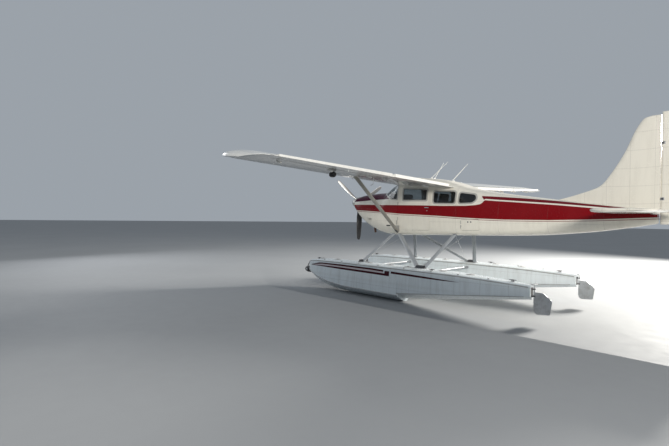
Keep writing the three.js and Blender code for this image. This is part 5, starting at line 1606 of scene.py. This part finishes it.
cowl = body_loft("cowl_skin", COWL, -905, -0.3, 0, 18)
inside = body_loft("cowl_inside", COWL, -891, -0.3, -5, 40)
inside.data.transform(Matrix.Translation((0, 0.002, 0)))
inlets = [rounded(INLET, 40), mirrored(rounded(INLET, 40))]
outlet = [[(-170, -60), (170, -60), (170, 130), (-170, 130)]]
louver = [[(-255, 322 + 22 * i), (-135, 318 + 22 * i), (-135, 328 + 22 * i), (-255, 332 + 22 * i)]
          for i in range(3)]
carve(cowl, ("DIFFERENCE", inside), ("DIFFERENCE", front_cutters(inlets, -1000, -840)),
      ("DIFFERENCE", front_cutters([circle(0, PROP_HEIGHT, 84)], -1000, -840)),
      ("DIFFERENCE", front_cutters(outlet, -210, -40)),
      cut_out(louver, 300, 600), cut_out(louver, -600, -300))
cowl_enamel = new_material("cowl_enamel", livery, {"Dirt": 0.25, **NO_ROWS}, bump=0.0008, Coat_Weight=0.05,
                           Coat_Roughness=0.07, Specular_IOR_Level=0.10)
finish_piece(cowl, cowl_enamel, "root", ["engine_cowl"])

# Rolled rims of the inlets, louver hoods, split-line screws and the fastener rows
rims, screws = start_parts(), start_parts()
for outline in inlets:
    add_sweep(rims, [at(p[0], -900 + 0.06 * abs(p[0]), p[1]) for p in outline], round_section(0.007, 8),
              closed=True)
for side in SIDES.values():
    for i in range(3):
        front, rear = (at(side * (cowl_reach + 3), s, 336 + 22 * i)
                       for s, cowl_reach in ((-255, 452), (-135, 465)))
        add_sweep(rims, [front, rear], [(-0.006, 0.006), (0.002, 0.005), (0.005, -0.002), (0.004, -0.004),
                                        (-0.006, 0.003)])
close_parts(rims, "cowl_rims", cowl_enamel, "root")
for side in SIDES.values():
    for station in range(-860, -20, 70):
        for height in (586, 612):
            drop = height - 0.02 * station
            x = skin_x(station, drop, COWL)
            add_turned(screws, at(side * (x - 1), station, drop), (side, 0, 0),
                       [(0, 0), (0.0055, 0), (0.004, 0.0022), (0, 0.0024)], 8)
    for height in range(120, 1000, 60):
        x = skin_x(-18, height, COWL)
        add_turned(screws, at(side * (x - 1), -18, height), (side, 0, 0),
                   [(0, 0), (0.005, 0), (0.0036, 0.002), (0, 0.0022)], 8)
close_parts(screws, "cowl_screws", chrome, "root")

# Exhaust stub under the nose, burnt brown by use
exhaust = start_parts()
add_turned(exhaust, at(150, -300, 210), (0.12, 0.30, -1), [
    (0, 0), (0.028, 0), (0.028, 0.17), (0.0285, 0.215), (0.025, 0.215), (0.025, 0.10), (0, 0.10)], 20)
close_parts(exhaust, "exhaust_stub", metal("burnt_steel", (0.16, 0.085, 0.06), 0.6, 0.7, Metallic=0.8),
            "root")

# Engine: crankcase, six finned cylinders with covers and pushrod tubes, and the tubes of its mount
motor = start_parts()
add_block(motor, at(0, -480, 700), (0.20, 0.50, 0.24), 0.02)
add_turned(motor, at(0, -730, PROP_HEIGHT), (0, -1, 0),
           [(0, 0), (0.11, 0), (0.11, 0.03), (0.07, 0.06), (0.055, 0.12), (0, 0.12)], 28)
for side in SIDES.values():
    for i, station in enumerate((-630, -480, -330)):
        for fin in range(7):
            add_block(motor, at(side * (118 + 18 * fin), station, 705), (0.005, 0.128, 0.128), 0.001)
        add_rod(motor, at(side * 95, station, 705), at(side * 240, station, 705), 0.052, 16)
        add_block(motor, at(side * 252, station, 705), (0.034, 0.120, 0.110), 0.010)
        for reach in (-28, 28):
            add_rod(motor, at(side * 90, station + reach, 760), at(side * 245, station + reach, 742), 0.007,
                    8)
for side in SIDES.values():
    for height in (520, 840):
        add_rod(motor, at(side * 105, -260, 700), at(side * 190, 2, height), 0.010, 10)
close_parts(motor, "engine_block", engine_grey, "root", ["engine"])

# Propeller and spinner
# Three forged aluminium blades in a hub behind a spun spinner. Their faces are bright; their backs are
# near black, which is painted shade: the dark of a blade lying in shade, given to the back of every blade.
blade_group, blade_in, blade_out = open_group(
    "blade_finish", [("Face", "Color", (0.66, 0.64, 0.58, 1)), ("Shaded Back", "Color", (0.016, 0.016, 0.018, 1))],
    SPEC)
blade_place = node(blade_group, "TexCoord").outputs["Object"]
blade_normal = node(blade_group, "SeparateXYZ",
                    {0: node(blade_group, "NewGeometry").outputs["Normal"]}).outputs[1]
# Painted shade: the faces that look aft, toward the cabin, get the near-black back colour of a blade in
# shade.
shaded_aft_faces = ramp(blade_normal, -0.04, 0.04)
nicks = noise(blade_place, 60.0, 5.0, 0.7)
blade_colour = tint(shaded_aft_faces, blade_in["Face"], blade_in["Shaded Back"])
wire(blade_out["Color"], tint(ramp(nicks, 0.60, 0.72, 0.0, 0.5), blade_colour, (0.42, 0.42, 0.41, 1)))
wire(blade_out["Roughness"], ramp(nicks, 0.3, 0.7, 0.34, 0.5))
wire(blade_out["Height"], nicks)
blade_paint_and_shade = new_material("blade_paint_and_shade", blade_group, bump=0.0003, Coat_Weight=0.2)
BLADE = [[0.03, 66, 60, 70], [0.13, 74, 56, 62], [0.16, 92, 44, 54], [0.22, 118, 34, 46], [0.45, 152, 22, 32],
         [0.72, 142, 14, 23], [0.92, 112, 9, 18], [0.965, 92, 7, 17], [0.985, 72, 6, 17], [0.996, 46, 5, 17],
         [1, 22, 3, 17]]
PROP_RADIUS = 1030
BLADE_TURN = math.radians(32)
blades = start_parts()
for i in range(3):
    turn = BLADE_TURN + math.radians(120 * i)
    rings = []
    for share, chord, thick, pitch in smooth_rows(BLADE, np.concatenate(
        [np.linspace(0.03, 0.9, 30), [0.92, 0.94, 0.955, 0.965, 0.975, 0.985, 0.991, 0.996, 1.0]])):
        pitch = math.radians(pitch)
        ring = []
        for j in range(24):
            a = 2 * math.pi * j / 24
            along, across = 0.5 * chord * math.cos(a), 0.5 * thick * math.sin(a)
            swing = along * math.cos(pitch) - across * math.sin(pitch)
            fore = -along * math.sin(pitch) - across * math.cos(pitch)
            reach = share * PROP_RADIUS
            x = reach * math.cos(turn) - swing * math.sin(turn)
            z = reach * math.sin(turn) + swing * math.cos(turn)
            ring.append(blades.verts.new(at(x, PROP_STATION + fore, PROP_HEIGHT + z)))
        rings.append(ring)
    add_skin(blades, rings)
close_parts(blades, "propeller_blades", blade_paint_and_shade, "propeller", ["propeller"])
hub = start_parts()
add_turned(hub, at(0, -1035, PROP_HEIGHT), AFT,
           [(0, 0), (0.050, 0), (0.062, 0.02), (0.062, 0.10), (0.055, 0.12),
            (0.036, 0.125), (0.036, 0.165), (0, 0.165)], 32)
for i in range(3):
    turn = BLADE_TURN + math.radians(120 * i)
    out = Vector((math.cos(turn), 0, math.sin(turn)))
    add_turned(hub, at(0, PROP_STATION, PROP_HEIGHT) + out * 0.03, out,
               [(0, 0), (0.046, 0), (0.046, 0.07), (0.040, 0.085), (0.040, 0.10), (0, 0.10)], 24)
close_parts(hub, "propeller_hub", bare_aluminium, "propeller")
spinner_enamel = plain_sheet("spinner_enamel", (0.80, 0.785, 0.72), 0.2, 0.18, Coat_Weight=0.6)
SPINNER_RADIUS, SPINNER_LENGTH = 0.158, 0.317
profile = [(SPINNER_RADIUS * math.sqrt(max(0, 1 - (1 - share) ** 2.2)), SPINNER_LENGTH * share)
           for share in np.linspace(0, 1, 28) ** 1.6]
spinner = start_parts()
add_turned(spinner, at(0, -1235, PROP_HEIGHT), AFT,
           profile + [(0.150, SPINNER_LENGTH), (0.150, 0.312), (0, 0.312)], 56)
close_parts(spinner, "spinner_shell", spinner_enamel, "propeller", ["spinner"])
spinner_screws = start_parts()
for i in range(18):
    turn = 2 * math.pi * i / 18
    out = Vector((math.cos(turn), 0, math.sin(turn)))
    add_turned(spinner_screws, at(0, -932, PROP_HEIGHT) + out * 0.1565, out,
               [(0, 0), (0.005, 0), (0.0035, 0.0022), (0, 0.0024)], 8)
close_parts(spinner_screws, "spinner_screws", chrome, "propeller")

# Wings
# Each wing is riveted aluminium sheet over ribs and two spars, with a moulded tip cap and bays for its flap
# and aileron. Two round filler caps are let into its top.
WING = [[300, 606, 2216, 1245, 1072, 0.12], [2540, 611, 2221, 1325, 1151, 0.12],
        [5060, 727, 1897, 1391, 1310, 0.12], [5240, 772, 1862, 1391, 1312, 0.115],
        [5370, 880, 1790, 1372, 1302, 0.10], [5440, 1050, 1650, 1345, 1290, 0.075],
        [5462, 1220, 1500, 1318, 1282, 0.04]]
HINGE_SHARE, HINGE_NOSE, HINGE_GAP = 0.79, 45, 6
FLAP, AILERON = (640, 2500), (2560, 4960)


def wing_row(span):
    spans = [row[0] for row in WING]
    return [float(np.interp(span, spans, [row[i] for row in WING])) for i in range(1, 6)]


def wing_half(share):
    """Half-thickness of the usual four-digit section, as a share of its greatest thickness."""
    return 5 * (0.2969 * math.sqrt(share) - 0.126 * share - 0.3516 * share**2
                + 0.2843 * share**3 - 0.1 * share**4)


def wing_camber(share):
    return 0.125 * (0.8 * share - share**2) if share < 0.4 else 0.0556 * (0.2 + 0.8 * share - share**2)


def wing_point(span, share, face=0, out=0.0):
    """A point [x, station, height] of the wing: face is 1 on the top, -1 below and 0 on the mean line."""
    lead, trail, lead_z, trail_z, thick = wing_row(span)
    chord = trail - lead
    up = (wing_camber(share) + face * thick * wing_half(share)) * chord + face * (out + 1.5 * share)
    slope = (trail_z - lead_z) / chord
    return [span, lead + chord * share - slope * up, lead_z + (trail_z - lead_z) * share + up]


def on_wing(side, span, share, face=-1, out=0.0):
    x, station, height = wing_point(span, share, face, out)
    return at(side * x, station, height)


def wing_ring(side, span, out=0.0, first=0.0, last=1.0, points=34):
    """Round a section from its trailing edge over the top to the nose and back below."""
    shares = [first + (last - first) * (1 - math.cos(math.pi * i / points)) / 2 for i in range(points + 1)]
    top = [on_wing(side, span, s, 1, out) for s in shares[::-1]]
    return top + [on_wing(side, span, s, -1, out) for s in shares[1:]]


def wing_spans(first, last, step):
    marks = set(np.linspace(first, last, max(2, int((last - first) / step))))
    if last > 5200:
        marks |= {5060, 5150, 5240, 5290, 5330, 5370, 5395, 5418, 5440, 5450, 5457, 5462}
    return sorted(marks)


def bay_axis(side, first, last):
    start, end = (Vector(at(side * x, station, height)) for x, station, height in (
        wing_point(first, HINGE_SHARE), wing_point(last, HINGE_SHARE)))
    along = (end - start).normalized()
    up = (UP - along * along.z).normalized()
    aft = up.cross(along) * side
    return start, end, up, aft


def round_nose(gap, back, tall):
    """The outline [aft, up] of a bay or of a hinged surface's room: a round front and a straight back."""
    reach = (HINGE_NOSE + gap) / 1000
    corner = math.asin(min(1, gap / 1000 / reach))
    arc = [(-math.cos(a) * reach, math.sin(a) * reach)
           for a in np.linspace(math.pi / 2 - corner, -math.pi / 2 + corner, 21)]
    return [(back, -tall), (back, tall), (arc[0][0], tall)] + arc + [(arc[-1][0], -tall)]


def bay_cutter(side, first, last, gap):
    start, end, up, aft = bay_axis(side, first - gap, last + gap)
    parts = start_parts()
    outline = round_nose(gap, 0.7, 0.2)
    add_prism(parts, *([place + aft * a + up * u for a, u in outline] for place in (start, end)))
    return as_object(parts, "bay")


wing_group, wing_in, wing_out = open_group(
    "wing_sheet", [("Paint", "Color", (0.76, 0.755, 0.72, 1)), ("Dirt", "Float", 0.15),
                   ("Rib Pitch", "Float", 0.385)], SPEC)
wing_axes = node(wing_group, "SeparateXYZ", {0: node(wing_group, "TexCoord").outputs["Object"]}).outputs
wing_sheet = place_group(wing_group, sheet_group, {
    "Paint": wing_in["Paint"], "Along": reckon("ABSOLUTE", wing_axes[0]),
    "Across": reckon("ADD", wing_axes[1], 1.32), "Frame Pitch": wing_in["Rib Pitch"], "Row Pitch": 0.42,
    "Dirt": wing_in["Dirt"], "Gloss": 0.16})
pass_on(wing_out, wing_sheet)
wing_enamel = new_material("wing_enamel", wing_group, bump=0.0009, Coat_Weight=0.6, Coat_Roughness=0.06)
tip_enamel = new_material("tip_enamel", wing_group, {"Rib Pitch": 9.0}, bump=0.0004, Coat_Weight=0.6,
                          Coat_Roughness=0.06)
flap_enamel = new_material("flap_enamel", wing_group, {"Rib Pitch": 9.0, "Dirt": 0.22}, bump=0.0006,
                           Coat_Weight=0.5, Coat_Roughness=0.08)
WING_TIP, WING_END = 5130, 5462
STRUT_FOOT, STRUT_HEAD = (505, 735, 60), (2640, 1290, 1215)
for name, side in SIDES.items():
    wing = loft(f"{name}_wing_skin", [wing_ring(side, s) for s in wing_spans(320, WING_TIP - 1, 60)])
    carve(wing, ("DIFFERENCE", body_loft("roof_room", FUSELAGE, 400, 2400, 0.5, 40)),
          ("DIFFERENCE", bay_cutter(side, *FLAP, HINGE_GAP)),
          ("DIFFERENCE", bay_cutter(side, *AILERON, HINGE_GAP)))
    finish_piece(wing, wing_enamel, "root", [f"{name}_wing"], sharp=30)
    tip = loft(f"{name}_wing_tip", [wing_ring(side, s) for s in wing_spans(WING_TIP + 1, WING_END, 60)])
    finish_piece(tip, tip_enamel, "root", sharp=50)

    # Hinged surfaces: pressed beads run fore and aft over both skins, between a plain nose and a thin rear
    # edge
    for surface, (first, last), step in (("flap", FLAP, 10), ("aileron", AILERON, 10)):
        start, end, up, aft = bay_axis(side, first, last)
        rings = []
        for k in range(int((last - first) / step) + 1):
            share = k * step / (last - first)
            span = first + (last - first) * share
            middle = start.lerp(end, share)
            chord = wing_row(span)[1] - wing_row(span)[0]
            raised = bead(k * step) * (0.03 < share < 0.97) / 1000
            ring_top, ring_low = [], []
            for j in range(15):
                back = (1 - math.cos(math.pi * j / 14)) / 2
                arc = -0.045 + back * (0.045 + (1 - HINGE_SHARE) * chord / 1000)
                for face, ring in ((1, ring_top), (-1, ring_low)):
                    wing_share = min(1.0, HINGE_SHARE + arc * 1000 / chord)
                    x, station, height = wing_point(span, wing_share, face)
                    skin = (Vector(at(side * x, station, height)) - middle).dot(up)
                    nose_up = math.sqrt(max(0.0, 0.045**2 - min(0.0, arc) ** 2)) if arc < 0 else 9
                    lift = face * min(abs(skin), nose_up) if skin * face > 0 else 0.0
                    if arc > 0.03 and back < 0.97:
                        lift += face * raised * min(1.0, (arc - 0.03) / 0.02, (1 - back) / 0.05)
                    ring.append(middle + aft * arc + up * lift)
            rings.append(ring_top[::-1] + ring_low[1:])
        made = loft(f"{name}_{surface}_skin", rings)
        finish_piece(made, flap_enamel, f"{name}_{surface}", [f"{name}_{surface}"], sharp=40)

    # Hinge brackets under the bays, filler caps, tie-down ring and vent pipe
    brackets, small = start_parts(), start_parts()
    for span in (900, 1640, 2300, 2760, 3700, 4760):
        start, end, up, aft = bay_axis(side, span, span + 10)
        across = Vector((side, 0, 0))
        add_plate(brackets, [(-0.16, -0.030), (-0.06, -0.050), (-0.03, -0.056), (-0.006, -0.074),
                             (-0.006, -0.092), (-0.03, -0.096), (-0.12, -0.070), (-0.17, -0.045)], start, aft,
                  up, 0.008, 0.001)
        pin = start - aft * 0.018 - up * 0.083
        add_rod(brackets, pin - across * 0.012, pin + across * 0.012, 0.009, 12)
    close_parts(brackets, f"{name}_hinge_brackets", wing_enamel, "root")
    for span, share in ((1050, 0.30), (1750, 0.30)):
        place = Vector(on_wing(side, span, share, 1))
        add_turned(small, place - Vector((0, 0, 0.004)), UP, [
            (0, 0), (0.045, 0), (0.047, 0.006), (0.040, 0.009), (0.036, 0.007), (0.012, 0.007),
            (0.010, 0.010), (0, 0.010)], 28)
    hold = Vector(on_wing(side, 2560, 0.36, -1))
    ring_path = [hold + Vector((0, 0.022 * math.cos(a), -0.016 + 0.022 * math.sin(a)))
                 for a in np.linspace(0, 2 * math.pi, 17)[:-1]]
    add_sweep(small, ring_path, round_section(0.0045, 8), closed=True)
    place = Vector(on_wing(side, 2050, 0.42, -1))
    add_sweep(small, [place + Vector(p) for p in ((0, 0, 0.01), (0, 0, -0.07), (0, -0.01, -0.09),
                                                  (0, -0.04, -0.105), (0, -0.07, -0.108))],
              round_section(0.006, 10))
    close_parts(small, f"{name}_wing_fittings", bare_aluminium, "root")

    # Tip light under a clear cover, red on the left and green on the right
    light = start_parts()
    nose = Vector(on_wing(side, 5330, 0.03, 0))
    add_turned(light, nose + Vector((side * -0.012, 0.02, 0)), (side * 0.45, -1, 0), [
        (0, 0), (0.024, 0), (0.026, 0.012), (0.022, 0.036), (0.012, 0.050), (0, 0.054)], 20)
    close_parts(light, f"{name}_tip_light", new_material(f"{name}_tip_lens", glass_group, {
        "Glass": (0.20, 0.008, 0.006, 1) if side > 0 else (0.006, 0.11, 0.05, 1), "Smears": 0.4},
                                                         Transmission_Weight=0.15, IOR=1.5),
                "root")

    # Wing strut: drawn streamline tube with a cuff at each end and a fork on the fuselage
    low, high = point_on(side, STRUT_FOOT), point_on(side, STRUT_HEAD)
    struts = start_parts()
    add_streamlined(struts, low, high, 0.112, 0.046,
                    [(0, 0.62), (0.012, 0.75), (0.035, 1), (0.965, 1), (0.985, 0.85), (1, 0.7)])
    close_parts(struts, f"{name}_wing_strut_tube",
                plain_sheet(f"{name}_strut_enamel", (0.66, 0.62, 0.52), 0.25, 0.2, Coat_Weight=0.5),
                "root", [f"{name}_wing_strut"])

# Antennas and the wing pod
# Two swept radio whips and a thicker one behind them stand on moulded bases on the cabin roof. A small black
# pod with a pale window hangs on a short mount under the left wing.
antenna_white = plastic("antenna_white", (0.80, 0.80, 0.77), 0.35, 0.2)
pod_black = plastic("pod_black", (0.012, 0.012, 0.013), 0.22, 0.15)
ANTENNAS = [((100, 1418), (100, 1855, 1681), 7), ((-100, 1376), (-100, 1623, 1700), 7),
            ((0, 1933), (0, 2308, 1610), 9)]
for number, ((x, station), (top_x, top_station, top_height), radius) in enumerate(ANTENNAS):
    whip = start_parts()
    roof = smooth_rows(FUSELAGE, [station])[0][3] * (1 - 0.0004 * abs(x) / 10)
    base, tip = at(x, station, roof), at(top_x, top_station, top_height)
    add_turned(whip, base - Vector((0, 0, 0.006)), UP, [
        (0, 0), (0.040, 0), (0.041, 0.010), (0.034, 0.016), (0.018, 0.026), (0.013, 0.045), (0, 0.046)], 24)
    reach = (tip - base).length
    add_turned(whip, base + Vector((0, 0, 0.020)), tip - base, [
        (0, 0), (radius / 1000, 0), (radius / 1000, reach * 0.3), (radius / 1600, reach - 0.03),
        (radius / 2400, reach - 0.004), (0, reach)], 12)
    close_parts(whip, f"roof_antenna_{number + 1}", antenna_white, "root")
pod = start_parts()
hang = Vector(on_wing(1, 3400, 0.55, -1))
add_streamlined(pod, hang + Vector((0, 0, 0.004)), hang - Vector((0, 0, 0.045)), 0.070, 0.026,
                [(0, 1.25), (0.12, 1), (1, 1)])
add_turned(pod, hang + Vector((0, -0.075, -0.055)), AFT, [
    (0, 0), (0.020, 0.003), (0.036, 0.013), (0.046, 0.030), (0.050, 0.055), (0.050, 0.11), (0.045, 0.130),
    (0.030, 0.145), (0.012, 0.151), (0, 0.152)], 32)
close_parts(pod, "wing_pod", pod_black, "root")
pod_window = start_parts()
add_turned(pod_window, hang - Vector((0, 0, 0.101)), (0, 0, -1),
           [(0, 0), (0.024, 0), (0.024, 0.004), (0.018, 0.008), (0, 0.010)], 24)
close_parts(pod_window, "wing_pod_window", frame_enamel, "root")

# Strut feet and small outlets
# Forked steel plates and bolts carry each wing strut, over a riveted doubler on the skin. Below the door's
# front edge a drain slot and a flat outlet are thin black patches on the skin: painted shade for the dark
# inside of each opening.
for name, side in SIDES.items():
    foot, head = point_on(side, STRUT_FOOT), point_on(side, STRUT_HEAD)
    along = (head - foot).normalized()
    aft = (AFT - along * along.y).normalized()
    out = along.cross(aft)
    forks = start_parts()
    for lug in (-1, 1):
        add_plate(forks, [(-0.035, -0.020), (0.075, -0.030), (0.125, -0.026), (0.145, 0), (0.125, 0.026),
                          (0.075, 0.030), (-0.035, 0.020)], foot + out * lug * 0.021, along, aft, 0.006,
                  0.0012)
    add_rod(forks, foot + along * 0.09 - out * 0.036, foot + along * 0.09 + out * 0.036, 0.011, 6, 0.15)
    add_rod(forks, foot + along * 0.02 - out * 0.034, foot + along * 0.02 + out * 0.034, 0.009, 6, 0.15)
    for place in ((404, 585, 34), (404, 690, 34), (404, 2250, 52)):
        pad = point_on(side, place)
        add_block(forks, pad, (0.07, 0.11, 0.012), 0.003)
        for end in (-0.038, 0.038):
            add_rod(forks, pad + Vector((0, end, -0.018)), pad + Vector((0, end, 0.004)), 0.008, 6, 0.15)
    close_parts(forks, f"{name}_strut_forks", dark_steel, "root")
    doubler = wall_between(f"{name}_strut_doubler", 2.5, -1, 620, 860)
    carve(doubler, keep_inside([rounded([(700, 60), (790, 60), (812, 205), (664, 205)], 16)], *reaches(side)))
    finish_piece(doubler, frame_enamel, "root")
    # The black of these patches is painted shade, standing for the dark inside of a drain slot and a flat
    # outlet.
    outlet_shade_patches = wall_between(f"{name}_skin_outlets", 5, -1, 340, 800)
    carve(outlet_shade_patches, keep_inside([
        rounded([(736, 330), (745, 330), (741, 222), (732, 222)], 3),
        rounded([(400, 182), (528, 182), (528, 212), (400, 212)], 14)], *reaches(side)))
    finish_piece(outlet_shade_patches, seal_rubber_and_outlet_shade, "root")
